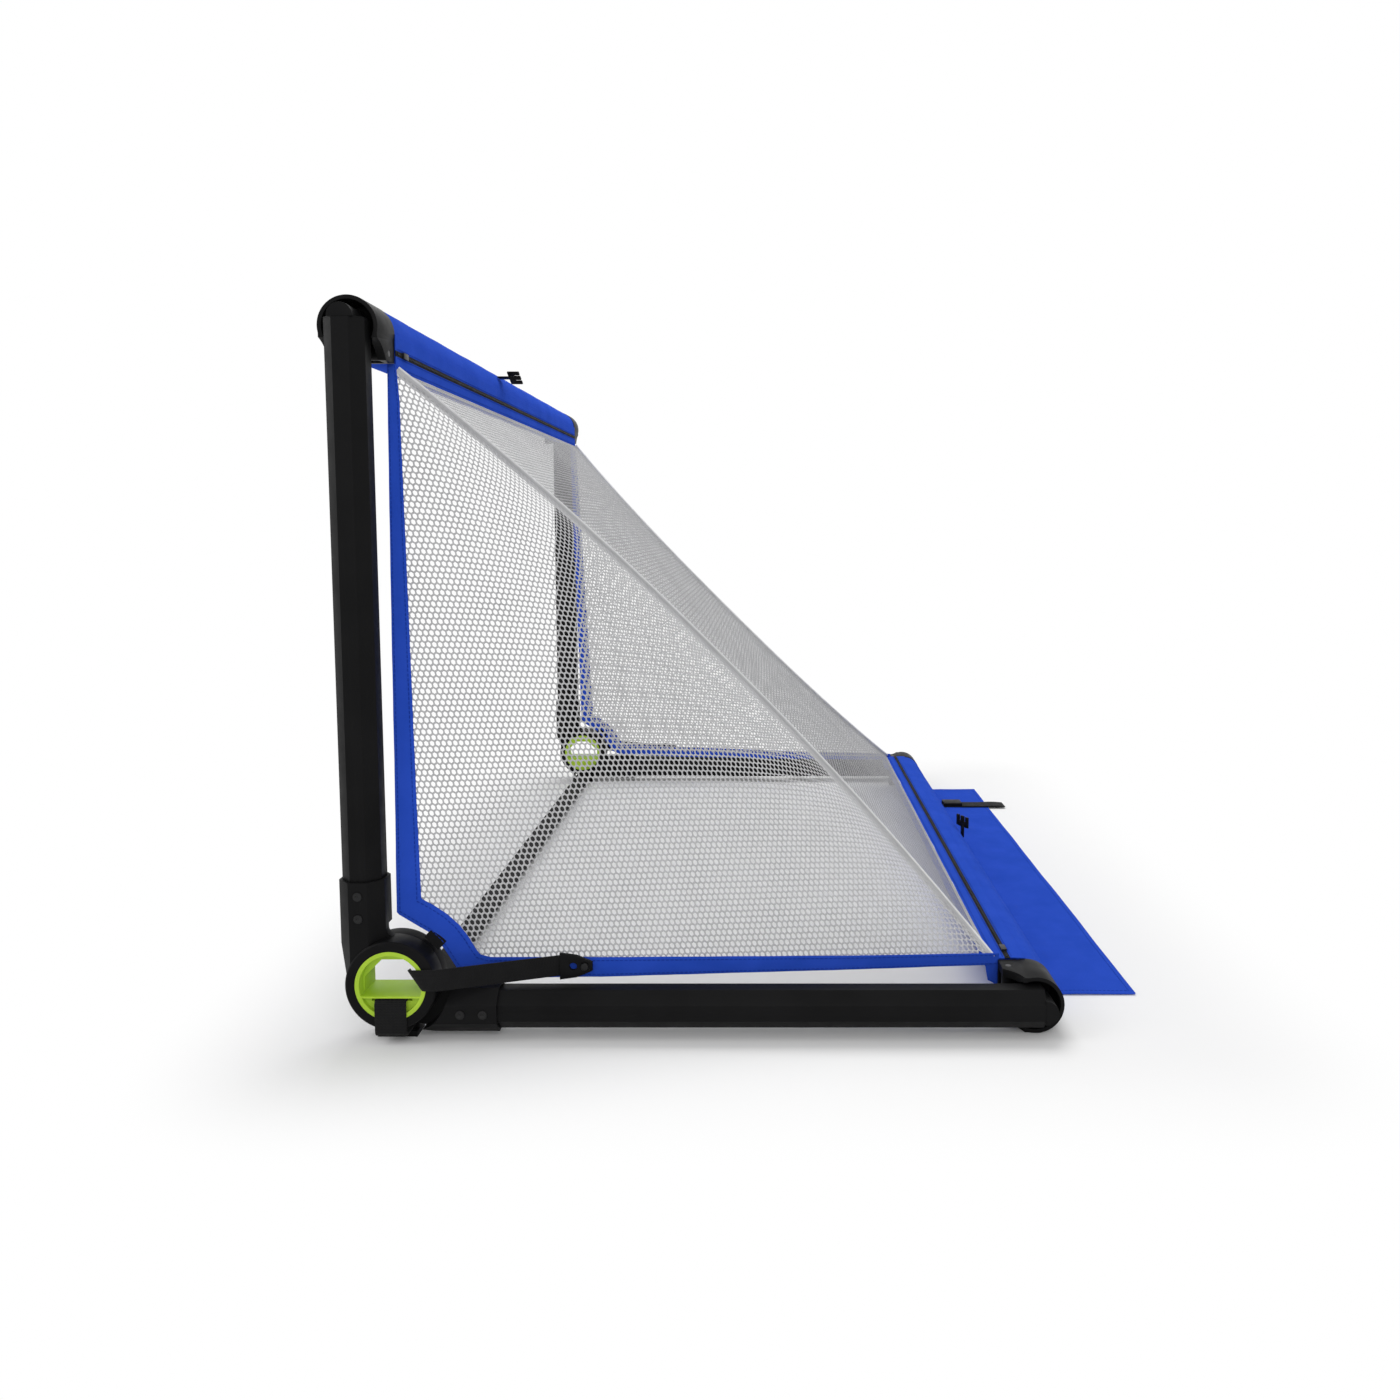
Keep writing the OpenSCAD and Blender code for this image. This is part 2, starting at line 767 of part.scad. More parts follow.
// sloped panel from the crossbar's band to the rear bar's band
module net_back() {
    color(WHITE) on_slope() translate([0, 0, -cloth_t]) linear_extrude(cloth_t) difference() {
        polygon(concat(waist_edge(RIGHT), waist_edge(LEFT)));
        back_mesh();
    }
}

// short tab that ties the cut corner of the border to the hub
module corner_tab() {
    color(BLACK) on_hub(RIGHT) rotate([45, 0, 0])
        translate([side_x + cloth_t + 2 * cloth_gap - leg_x, ring_r + cloth_gap, -tab_w / 2])
            cube([cloth_t, tab_len, tab_w]);
}

// ---- flap ----------------------------------------------------------------------------
module flap() {
    color(BLUE) translate([-flap_half, seam_y, flap_lift])
        cube([2 * flap_half, rear_y + flap_reach - seam_y, flap_t]);
}

// fixed strip of cloth from below the sleeve to the flap's seam
module flap_hem() {
    hem_t = flap_t / 2;
    under = leg_z - flap_lift - hem_t - cloth_gap;
    hem_from = rear_y + sqrt(pow(sleeve_r, 2) - pow(under, 2));
    color(BLUE) translate([-flap_half, hem_from, flap_lift])
        cube([2 * flap_half, seam_y - cloth_gap - hem_from, hem_t]);
}

module flap_strap() {
    color(BLACK)
        translate([flap_strap_x - strap_w / 2, rear_y + flap_reach + flap_strap_over - flap_strap_len,
                   flap_lift + flap_t])
            cube([strap_w, flap_strap_len, strap_t]);
}

module flap_buckle() {
    base_z = flap_lift + flap_t + strap_t;
    from_y = rear_y + flap_reach + flap_strap_over - flap_strap_len;
    color(BLACK) translate([flap_strap_x, from_y, base_z]) difference() {
        translate([-buckle_w / 2, 0, 0]) cube([buckle_w, buckle_len, buckle_t]);
        translate([buckle_wall - buckle_w / 2, -over, buckle_t / 4])
            cube([buckle_w - 2 * buckle_wall, buckle_len / 2, buckle_t / 2]);
    }
}

// webbing tab and fork, in the bar's frame, leaving the sleeve along +Y from its top
module fork_buckle(twist) {
    fork_t = buckle_t / 2;
    color(BLACK) {
        translate([-strap_w / 3, 0, -strap_t / 2]) cube([2 * strap_w / 3, buckle_len / 2, strap_t]);
        rotate([0, -twist, 0]) translate([0, buckle_len / 2 - strap_t, -fork_t / 2]) difference() {
            translate([-buckle_w / 2, 0, 0]) cube([buckle_w, buckle_len / 2, fork_t]);
            for (side = [-1, 1])
                translate([side * buckle_w / 5 - prong_gap / 2, buckle_len / 4, -over])
                    cube([prong_gap, buckle_len, fork_t + 2 * over]);
        }
    }
}

// fork that leaves the sleeve at turn degrees round the bar
module bar_fork(x, turn, twist) {
    translate([x, sleeve_r * sin(turn), sleeve_r * cos(turn) + strap_t / 2 + cloth_gap])
        fork_buckle(twist);
}

module crossbar_buckle() {
    bar_fork(top_buckle_x, top_fork_turn, top_fork_twist);
}

module rear_buckle() {
    bar_fork(rear_buckle_x, rear_fork_turn, rear_fork_twist);
}

on_rear_bar() bar_tube();  // rear_bar_tube
on_ground(RIGHT) bar_hood();  // rear_hood_right
on_ground(LEFT) bar_hood();  // rear_hood_left
union() {  // rear_corner_pins
    on_ground(RIGHT) corner_pin();
    on_ground(LEFT) corner_pin();
}
on_rear_bar() bar_sleeve();  // rear_sleeve
on_rear_bar() bar_band();  // rear_band
on_rear_bar() bar_zip();  // rear_zip
on_rear_bar() zip_slider();  // rear_zip_slider
on_rear_bar() rear_buckle();
on_crossbar() bar_tube();  // crossbar_tube
on_post(RIGHT) bar_hood();  // crossbar_hood_right
on_post(LEFT) bar_hood();  // crossbar_hood_left
union() {  // crossbar_corner_pins
    on_post(RIGHT) corner_pin();
    on_post(LEFT) corner_pin();
}
on_crossbar() bar_sleeve();  // crossbar_sleeve
on_crossbar() bar_band();  // crossbar_band
on_crossbar() bar_zip();  // crossbar_zip
on_crossbar() zip_slider();  // crossbar_zip_slider
on_crossbar() crossbar_buckle();
on_post(RIGHT) leg_tube();  // post_tube_right
on_post(LEFT) leg_tube();  // post_tube_left
on_post(RIGHT) leg_end();  // post_end_right
on_post(LEFT) leg_end();  // post_end_left
on_post(RIGHT) post_knuckle();  // post_knuckle_right
on_post(LEFT) post_knuckle();  // post_knuckle_left
on_post(RIGHT) leg_rivets();  // post_rivets_right
on_post(LEFT) leg_rivets();  // post_rivets_left
on_ground(RIGHT) leg_tube();  // ground_tube_right
on_ground(LEFT) leg_tube();  // ground_tube_left
on_ground(RIGHT) leg_end();  // ground_end_right
on_ground(LEFT) leg_end();  // ground_end_left
on_ground(RIGHT) ground_knuckle();  // ground_knuckle_right
on_ground(LEFT) ground_knuckle();  // ground_knuckle_left
on_ground(RIGHT) leg_rivets();  // ground_rivets_right
on_ground(LEFT) leg_rivets();  // ground_rivets_left
on_hub(RIGHT) hub_bush();  // hub_bush_right
on_hub(LEFT) hub_bush();  // hub_bush_left
floor_strap();
tension_strap();  // tension_strap_right
sided(LEFT) tension_strap();  // tension_strap_left
strap_fitting();  // strap_fitting_right
sided(LEFT) strap_fitting();  // strap_fitting_left
strap_stud();  // strap_stud_right
sided(LEFT) strap_stud();  // strap_stud_left
net_back();
net_side();  // net_side_right
sided(LEFT) net_side();  // net_side_left
net_border();  // net_border_right
sided(LEFT) net_border();  // net_border_left
corner_tab();  // corner_tab_right
sided(LEFT) corner_tab();  // corner_tab_left
flap_hem();
flap();
flap_strap();
flap_buckle();
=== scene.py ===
"""Folding goal: blue fabric sleeves and borders, white mesh, black legs with lime hub bushes."""

import math

import bpy
import numpy as np
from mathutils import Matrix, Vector


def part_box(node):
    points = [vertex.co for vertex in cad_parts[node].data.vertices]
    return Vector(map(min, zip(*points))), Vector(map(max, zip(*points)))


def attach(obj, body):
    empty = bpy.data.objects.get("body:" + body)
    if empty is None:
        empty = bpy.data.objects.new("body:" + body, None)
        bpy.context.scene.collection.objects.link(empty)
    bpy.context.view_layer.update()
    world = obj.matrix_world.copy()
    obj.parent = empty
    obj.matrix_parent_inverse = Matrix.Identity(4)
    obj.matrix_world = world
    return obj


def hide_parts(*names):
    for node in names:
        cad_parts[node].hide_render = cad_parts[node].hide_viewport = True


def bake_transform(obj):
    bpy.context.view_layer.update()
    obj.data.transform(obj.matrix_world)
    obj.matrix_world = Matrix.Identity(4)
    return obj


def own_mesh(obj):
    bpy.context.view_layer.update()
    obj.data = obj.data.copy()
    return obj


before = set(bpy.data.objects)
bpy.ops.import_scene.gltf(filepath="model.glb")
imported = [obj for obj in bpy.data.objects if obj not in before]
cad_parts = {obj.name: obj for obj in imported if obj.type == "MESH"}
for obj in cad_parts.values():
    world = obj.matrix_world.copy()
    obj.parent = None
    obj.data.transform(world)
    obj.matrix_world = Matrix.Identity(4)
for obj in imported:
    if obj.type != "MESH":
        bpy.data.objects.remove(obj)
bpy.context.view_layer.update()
MM = 0.001

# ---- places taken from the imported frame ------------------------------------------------


def span(node, axis):
    low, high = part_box(node)
    return low[axis], high[axis]


def middle(node, axis):
    low, high = span(node, axis)
    return (low + high) / 2


LEG_X = middle("post_tube_right", 0)
FRONT_Y = middle("crossbar_tube", 1)
BAR_Z = middle("crossbar_tube", 2)
REAR_Y = middle("rear_bar_tube", 1)
LEG_Z = middle("rear_bar_tube", 2)
HUB_Y = middle("hub_bush_right", 1)
HUB_Z = middle("hub_bush_right", 2)
HUB_FACE = span("hub_bush_right", 0)[1]
SLEEVE_R = (span("crossbar_sleeve", 2)[1] - span("crossbar_sleeve", 2)[0]) / 2
SLEEVE_END = span("crossbar_sleeve", 0)[1]
BAND_AT = span("crossbar_band", 1)[0] - FRONT_Y
BAND_W = BAR_Z - span("crossbar_band", 2)[0]
ZIP_AT = BAR_Z - middle("crossbar_zip", 2)
ZIP_W = span("crossbar_zip", 2)[1] - span("crossbar_zip", 2)[0]
ZIP_TOP, ZIP_FOOT = ZIP_AT - ZIP_W / 2, ZIP_AT + ZIP_W / 2
BORDER_LOW = span("net_border_right", 2)[0]
FLAP_HALF = span("flap", 0)[1]
FLAP_FROM, FLAP_TO = span("flap", 1)
FLAP_LOW, FLAP_HIGH = span("flap", 2)
STRAP_LOW, STRAP_HIGH = span("floor_strap", 1)
FLOOR_STRAP_Z = span("floor_strap", 2)[0]
CLOTH = 1.2 * MM
SIDE_X = span("net_border_right", 0)[1] - CLOTH
STRAP_FACE = HUB_FACE + 1.4 * MM
WEBBING = 1.8 * MM
PITCH = 5.8 * MM
THREAD = 1.7 * MM
MESH_SLIP = 0.277
MESH_RISE = 1.2

scene = bpy.context.scene
RIGHT, LEFT = 1, -1
SIDES = {"right": RIGHT, "left": LEFT}

# ---- modelling helpers -----------------------------------------------------------------


def deselect():
    if bpy.context.object and bpy.context.object.mode != "OBJECT":
        bpy.ops.object.mode_set(mode="OBJECT")
    bpy.ops.object.select_all(action="DESELECT")


def pick(piece):
    deselect()
    piece.select_set(True)
    bpy.context.view_layer.objects.active = piece


def points_of(piece):
    co = np.zeros(len(piece.data.vertices) * 3)
    piece.data.vertices.foreach_get("co", co)
    return co.reshape(-1, 3)


def set_points(piece, points):
    piece.data.vertices.foreach_set("co", np.asarray(points, float).ravel())
    piece.data.update()


def modify(piece, kind, **settings):
    pick(piece)
    modifier = piece.modifiers.new(kind.lower(), kind)
    for key, value in settings.items():
        setattr(modifier, key, value)
    bpy.ops.object.modifier_apply(modifier=modifier.name)


def smooth(piece, degrees=40):
    pick(piece)
    bpy.ops.object.shade_smooth_by_angle(angle=math.radians(degrees))


def merge(piece, distance=1e-6, outward=False):
    pick(piece)
    bpy.ops.object.mode_set(mode="EDIT")
    bpy.ops.mesh.select_all(action="SELECT")
    bpy.ops.mesh.remove_doubles(threshold=distance)
    if outward:
        bpy.ops.mesh.normals_make_consistent(inside=False)
    bpy.ops.object.mode_set(mode="OBJECT")


def join(name, pieces):
    deselect()
    for piece in pieces:
        piece.select_set(True)
    bpy.context.view_layer.objects.active = pieces[0]
    bpy.ops.object.join()
    made = bpy.context.active_object
    made.name = name
    return made


def mirrored(piece, name):
    """The same piece on the other side of the goal, with its faces pointing outwards."""
    twin = bpy.data.objects.new(name, piece.data.copy())
    scene.collection.objects.link(twin)
    set_points(twin, points_of(twin) * np.array([-1, 1, 1]))
    pick(twin)
    bpy.ops.object.mode_set(mode="EDIT")
    bpy.ops.mesh.select_all(action="SELECT")
    bpy.ops.mesh.flip_normals()
    bpy.ops.object.mode_set(mode="OBJECT")
    return twin


def dress(piece, material, body=None, stands_for=()):
    piece.data.materials.clear()
    piece.data.materials.append(material)
    if body:
        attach(piece, body)
    if stands_for:
        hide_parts(*stands_for)
    return piece


def surface(name, across, along, shape, metres):
    """A grid laid on shape(u, v), u across and v along from 0 to 1, with its map in metres."""
    deselect()
    bpy.ops.mesh.primitive_grid_add(x_subdivisions=across, y_subdivisions=along, size=1)
    piece = bpy.context.active_object
    piece.name = name
    flat = points_of(piece) + 0.5
    set_points(piece, np.stack(shape(flat[:, 0], flat[:, 1]), axis=1))
    layer = piece.data.uv_layers.active
    uv = np.zeros(len(piece.data.loops) * 2)
    layer.data.foreach_get("uv", uv)
    layer.data.foreach_set("uv", (uv.reshape(-1, 2) * np.array(metres)).ravel())
    return piece


def thicken(piece, thickness, edge=0.0, offset=0.0):
    merge(piece, outward=True)
    modify(piece, "SOLIDIFY", thickness=thickness, offset=offset, use_even_offset=True)
    if edge:
        modify(piece, "BEVEL", width=edge, segments=2, limit_method="ANGLE",
               angle_limit=math.radians(50))
    smooth(piece)
    return piece


def along_path(path, v):
    """Points at share v of a path's length, in straight runs between its points."""
    path = np.array(path, float)
    steps = np.linalg.norm(np.diff(path, axis=0), axis=1)
    at = np.concatenate([[0], np.cumsum(steps)]) / steps.sum()
    return [np.interp(v, at, path[:, k]) for k in range(path.shape[1])]


def rounded(path, radius, steps=6):
    """The path with each inner corner turned into an arc-like run of points."""
    path = [np.array(p, float) for p in path]
    made = [path[0]]
    for before, corner, after in zip(path, path[1:], path[2:]):
        a, b = before - corner, after - corner
        near = min(radius, np.linalg.norm(a) / 2.01, np.linalg.norm(b) / 2.01)
        start = corner + a / np.linalg.norm(a) * near
        end = corner + b / np.linalg.norm(b) * near
        for t in np.linspace(0, 1, steps):
            made.append((1 - t) ** 2 * start + 2 * t * (1 - t) * corner + t * t * end)
    return np.array(made + [path[-1]])


def ripples(a, b, size, seed=0.0):
    """Soft uneven waves for cloth, from -size to size."""
    return size * (
        0.5 * np.sin(a * 1.7 + 2.1 * np.sin(b * 0.9 + seed) + seed)
        + 0.3 * np.sin(b * 3.1 + 1.3 * np.sin(a * 0.7) + seed * 2.3)
        + 0.2 * np.sin(a * 4.3 - b * 2.2 + seed * 1.7)
    )


# ---- finishes --------------------------------------------------------------------------


class Finish:
    """A new node material with a few short ways to wire it."""

    def __init__(self, name):
        self.material = bpy.data.materials.new(name)
        self.material.use_nodes = True
        self.tree = self.material.node_tree
        self.shader = self.tree.nodes["Principled BSDF"]
        self.place = self.node("ShaderNodeTexCoord")

    def node(self, kind, **settings):
        made = self.tree.nodes.new(kind)
        for key, value in settings.items():
            setattr(made, key, value)
        return made

    def link(self, source, target):
        self.tree.links.new(source, target)

    def noise(self, scale, detail=3):
        made = self.node("ShaderNodeTexNoise")
        made.inputs["Scale"].default_value = scale
        made.inputs["Detail"].default_value = detail
        self.link(self.place.outputs["Object"], made.inputs["Vector"])
        return made.outputs["Fac"]

    def ranged(self, value, low, high):
        made = self.node("ShaderNodeMapRange")
        made.inputs["From Min"].default_value = 0.3
        made.inputs["From Max"].default_value = 0.7
        made.inputs["To Min"].default_value = low
        made.inputs["To Max"].default_value = high
        self.link(value, made.inputs["Value"])
        return made.outputs["Result"]

    def math(self, operation, a, b=None):
        made = self.node("ShaderNodeMath", operation=operation)
        for socket, value in zip(made.inputs, (a, b)):
            if value is None:
                continue
            if isinstance(value, (int, float)):
                socket.default_value = value
            else:
                self.link(value, socket)
        return made.outputs[0]

    def colours(self, value, first, second):
        made = self.node("ShaderNodeMix", data_type="RGBA")
        made.inputs["A"].default_value = (*first, 1)
        made.inputs["B"].default_value = (*second, 1)
        self.link(value, made.inputs["Factor"])
        self.link(made.outputs["Result"], self.shader.inputs["Base Color"])

    def bump(self, height, distance, strength=1.0):
        made = self.node("ShaderNodeBump")
        made.inputs["Distance"].default_value = distance
        made.inputs["Strength"].default_value = strength
        self.link(height, made.inputs["Height"])
        self.link(made.outputs["Normal"], self.shader.inputs["Normal"])

    def roughness(self, value):
        self.link(value, self.shader.inputs["Roughness"])

    def constant(self, **values):
        for key, value in values.items():
            self.shader.inputs[key.replace("_", " ")].default_value = value


def moulded_finish(name, colour, light, rough, level, grain=0.00008):
    f = Finish(name)
    cloud = f.noise(14)
    f.colours(f.ranged(cloud, 0, 1), colour, light)
    f.roughness(f.ranged(f.noise(60, 4), rough - 0.05, rough + 0.06))
    f.bump(f.noise(1400, 2), grain, 0.5)
    f.constant(Specular_IOR_Level=level)
    return f.material


def woven_finish(name, colour, light, thread, rough=0.85, sheen=0.2, depth=0.0002, level=0.15):
    """Plain weave that follows the piece's own map, whose units are metres."""
    f = Finish(name)
    split = f.node("ShaderNodeSeparateXYZ")
    f.link(f.place.outputs["UV"], split.inputs[0])
    turns = 2 * math.pi / thread
    warp = f.math("SINE", f.math("MULTIPLY", split.outputs[0], turns))
    weft = f.math("SINE", f.math("MULTIPLY", split.outputs[1], turns))
    over = f.math("MULTIPLY", warp, weft)
    weave = f.math("ADD", f.math("MULTIPLY", over, 0.5), 0.5)
    shade = f.math("ADD", f.math("MULTIPLY", weave, 0.35), f.math("MULTIPLY", f.noise(22), 0.65))
    f.colours(f.ranged(shade, 0, 1), colour, light)
    f.roughness(f.ranged(f.noise(90), rough - 0.06, rough + 0.05))
    f.bump(weave, depth)
    f.constant(Specular_IOR_Level=level, Sheen_Weight=sheen, Sheen_Roughness=0.5)
    return f.material


def webbing_finish(name, colour, light, rib=0.0016):
    """Ribs across the strap and a herringbone down its length."""
    f = Finish(name)
    split = f.node("ShaderNodeSeparateXYZ")
    f.link(f.place.outputs["UV"], split.inputs[0])
    turns = 2 * math.pi / rib
    slant = f.math("ABSOLUTE", f.math("SINE", f.math("MULTIPLY", split.outputs[0], turns / 5)))
    along = f.math("MULTIPLY", split.outputs[1], turns)
    phase = f.math("ADD", along, f.math("MULTIPLY", slant, 3))
    ribs = f.math("ADD", f.math("MULTIPLY", f.math("SINE", phase), 0.5), 0.5)
    shade = f.math("ADD", f.math("MULTIPLY", ribs, 0.6), f.math("MULTIPLY", f.noise(40), 0.4))
    f.colours(f.ranged(shade, 0, 1), colour, light)
    f.roughness(f.ranged(f.noise(120), 0.72, 0.85))
    f.bump(ribs, 0.00025)
    f.constant(Specular_IOR_Level=0.1, Sheen_Weight=0.05)
    return f.material


def metal_finish(name, colour, light, rough):
    f = Finish(name)
    f.colours(f.ranged(f.noise(30), 0, 1), colour, light)
    f.roughness(f.ranged(f.noise(200, 4), rough - 0.06, rough + 0.08))
    f.bump(f.noise(900, 2), 0.00004, 0.4)
    f.constant(Metallic=1.0)
    return f.material


COATED_LEG = moulded_finish("coated_leg", (0.006, 0.006, 0.0062), (0.0085, 0.0085, 0.0088),
                            0.42, 0.05)
BLACK_PLASTIC = moulded_finish("black_plastic", (0.0055, 0.0055, 0.0058),
                               (0.0085, 0.0085, 0.0088), 0.42, 0.05)
LIME_PLASTIC = moulded_finish("lime_plastic", (0.36, 0.56, 0.028), (0.43, 0.63, 0.045), 0.45, 0.3)
BLACK_RIVET = moulded_finish("black_rivet", (0.008, 0.008, 0.0085), (0.013, 0.013, 0.0135),
                             0.35, 0.2)
BLUE_CLOTH = woven_finish("blue_cloth", (0.0195, 0.071, 0.49), (0.029, 0.089, 0.585),
                          0.0014, 0.9, 0.0, level=0.02)
BLUE_STITCH = woven_finish("blue_stitch", (0.01, 0.04, 0.33), (0.017, 0.06, 0.45),
                           0.0006, 0.9, 0.0, level=0.02)
BLACK_WEBBING = webbing_finish("black_webbing", (0.005, 0.005, 0.0053), (0.011, 0.011, 0.0115))
ZIP_TEETH = moulded_finish("zip_teeth", (0.006, 0.006, 0.0063), (0.01, 0.01, 0.0105), 0.5, 0.1)
WHITE_MESH = woven_finish("white_mesh", (0.52, 0.52, 0.53), (0.6, 0.6, 0.61), 0.0007, 0.8, 0.1)
# the back net is the same white mesh as the side nets; this darker copy is painted shade for the
# shade it sits in
BACK_MESH_PAINTED_SHADE = woven_finish("back_mesh", (0.35, 0.35, 0.36), (0.42, 0.42, 0.43), 0.0007, 0.8, 0.1)
WHITE_TAPE = woven_finish("white_tape", (0.76, 0.76, 0.77), (0.84, 0.84, 0.85), 0.0009, 0.8, 0.1)
BAR_METAL = metal_finish("bar_metal", (0.55, 0.56, 0.58), (0.65, 0.66, 0.68), 0.35)
PIN_STEEL = metal_finish("pin_steel", (0.05, 0.05, 0.053), (0.08, 0.08, 0.084), 0.4)

# ---- rigid pieces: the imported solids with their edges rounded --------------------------


def moulded(node, edge, material, body):
    """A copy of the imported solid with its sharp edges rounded."""
    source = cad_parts[node]
    piece = bpy.data.objects.new(node + "_moulding", source.data.copy())
    scene.collection.objects.link(piece)
    merge(piece, 2e-5)
    bpy.ops.object.mode_set(mode="EDIT")
    bpy.ops.mesh.select_all(action="SELECT")
    bpy.ops.mesh.dissolve_limited(angle_limit=math.radians(0.6))
    bpy.ops.object.mode_set(mode="OBJECT")
    modify(piece, "BEVEL", width=edge, segments=3, limit_method="ANGLE",
           angle_limit=math.radians(28), miter_outer="MITER_ARC")
    smooth(piece, 30)
    return dress(piece, material, body, [node])


for side in SIDES:
    for bar, leg, body in (("crossbar", "post", "crossbar_frame"),
                           ("rear", "ground", "rear_frame")):
        moulded(f"{bar}_hood_{side}", 1.2 * MM, BLACK_PLASTIC, body)
        moulded(f"{leg}_end_{side}", 1.5 * MM, BLACK_PLASTIC, body)
        moulded(f"{leg}_knuckle_{side}", 1.2 * MM, BLACK_PLASTIC, body)
        moulded(f"{leg}_tube_{side}", 1.5 * MM, COATED_LEG, body)
    moulded(f"hub_bush_{side}", 0.8 * MM, LIME_PLASTIC, "rear_frame")

for node, finish in (("crossbar_tube", BAR_METAL), ("rear_bar_tube", BAR_METAL),
                     ("crossbar_corner_pins", PIN_STEEL), ("rear_corner_pins", PIN_STEEL)):
    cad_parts[node].data.materials.clear()
    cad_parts[node].data.materials.append(finish)

# ---- rivets ----------------------------------------------------------------------------


RIVET_R = 4.5 * MM
RIVET_RISE = 0.9 * MM
SOCKET_HALF = 23 * MM
# distances of a leg's two rivets from the hub's axis
RIVET_REACHES = (69 * MM, 92 * MM)


def rivet(place):
    """A flat head with a round dimple, its back on the socket's face."""
    low_x, y, z = place
    deselect()
    bpy.ops.mesh.primitive_cylinder_add(
        vertices=32, radius=RIVET_R, depth=RIVET_RISE,
        location=(low_x + RIVET_RISE / 2, y, z), rotation=(0, math.pi / 2, 0))
    piece = bpy.context.active_object
    bpy.ops.object.transform_apply()
    bpy.ops.object.mode_set(mode="EDIT")
    bpy.ops.mesh.select_all(action="DESELECT")
    bpy.ops.object.mode_set(mode="OBJECT")
    for face in piece.data.polygons:
        face.select = face.normal.x > 0.9
    bpy.ops.object.mode_set(mode="EDIT")
    bpy.ops.mesh.inset(thickness=2.6 * MM, depth=0.0)
    bpy.ops.mesh.inset(thickness=0.3 * MM, depth=-0.7 * MM)
    bpy.ops.object.mode_set(mode="OBJECT")
    modify(piece, "BEVEL", width=0.3 * MM, segments=2, limit_method="ANGLE",
           angle_limit=math.radians(40))
    smooth(piece)
    return piece


SOCKET_FACE = LEG_X + SOCKET_HALF
for leg, body in (("post", "crossbar_frame"), ("ground", "rear_frame")):
    heads = []
    for reach in RIVET_REACHES:
        y, z = (FRONT_Y, HUB_Z + reach) if leg == "post" else (HUB_Y + reach, LEG_Z)
        heads.append(rivet((SOCKET_FACE, y, z)))
    right = join(f"{leg}_rivet_heads_right", heads)
    left = mirrored(right, f"{leg}_rivet_heads_left")
    dress(right, BLACK_RIVET, body, [f"{leg}_rivets_right"])
    dress(left, BLACK_RIVET, body, [f"{leg}_rivets_left"])

# ---- bars: sleeves, bands and zips -----------------------------------------------------


def on_crossbar(x, y, z):
    return x, FRONT_Y + y, BAR_Z + z


def on_rear_bar(x, y, z):
    return x, REAR_Y + z, LEG_Z + y


HEM_W = 14 * MM


def sleeve(name, put, seed):
    """Cloth tube round a bar, with a shallow groove where each end is hemmed."""

    def shape(u, v):
        angle = 2 * math.pi * u
        x = (2 * v - 1) * SLEEVE_END
        hem = np.clip((SLEEVE_END - np.abs(x)) / HEM_W, 0, 1)
        r = SLEEVE_R - 0.1 * MM + ripples(x * 22, 2 * angle, 0.35 * MM, seed) * hem
        r = r - 0.5 * MM * (hem > 0.95) * (hem < 1)
        return put(x, r * np.cos(angle), r * np.sin(angle))

    piece = surface(name, 48, 260, shape, (2 * math.pi * SLEEVE_R, 2 * SLEEVE_END))
    return thicken(piece, 1.4 * MM, offset=-1.0)


def band_strip(name, put, top, bottom, seed, thickness=CLOTH, half=SLEEVE_END):
    """Part of the band below its sleeve, from top to bottom, with a soft wave."""

    def shape(u, v):
        x = (2 * v - 1) * half
        z = -(top + (bottom - top) * u)
        wave = ripples(x * 18, z * 60, 0.5 * MM, seed) * np.clip(u + 0.2, 0, 1)
        y = BAND_AT + thickness / 2 + wave
        return put(x, y, z)

    piece = surface(name, 6, 240, shape, (bottom - top, 2 * half))
    return thicken(piece, thickness, edge=0.3 * MM)


def cube_row(name, count, halved=False):
    """Count unit cubes in one mesh, all to be moved into place, and the first one's points."""
    deselect()
    bpy.ops.mesh.primitive_cube_add(size=1)
    piece = bpy.context.active_object
    piece.name = name
    if halved:
        bpy.ops.object.mode_set(mode="EDIT")
        bpy.ops.mesh.subdivide(number_cuts=1)
        bpy.ops.object.mode_set(mode="OBJECT")
    one = points_of(piece)
    modify(piece, "ARRAY", count=count, use_relative_offset=False, use_constant_offset=True,
           constant_offset_displace=(2, 0, 0))
    return piece, one


def stitches(name, path, put, length=3.2 * MM, gap=1.6 * MM, width=0.7 * MM, height=0.35 * MM):
    """A row of thread stitches along a path; put(a, b, lift) gives the place in the frame."""
    path = np.array(path, float)
    total = np.linalg.norm(np.diff(path, axis=0), axis=1).sum()
    count = int(total / (length + gap))
    piece, one = cube_row(name, count, halved=True)
    at = np.arange(count) * (length + gap) / total + (length + gap) / (2 * total)
    a, b = along_path(path, at)
    a2, b2 = along_path(path, np.clip(at + 0.001, 0, 1))
    a1, b1 = along_path(path, np.clip(at - 0.001, 0, 1))
    da, db = a2 - a1, b2 - b1
    size = np.hypot(da, db)
    da, db = da / size, db / size
    dome = height * (one[:, 2] + 0.5) * (1 - 0.6 * np.abs(2 * one[:, 0]))
    s, w = one[:, 0] * length, one[:, 1] * width
    pa = a[:, None] + da[:, None] * s - db[:, None] * w
    pb = b[:, None] + db[:, None] * s + da[:, None] * w
    lift = np.broadcast_to(dome, pa.shape)
    set_points(piece, np.stack(put(pa.ravel(), pb.ravel(), lift.ravel()), axis=1))
    merge(piece, 1e-9, outward=True)
    smooth(piece)
    return piece


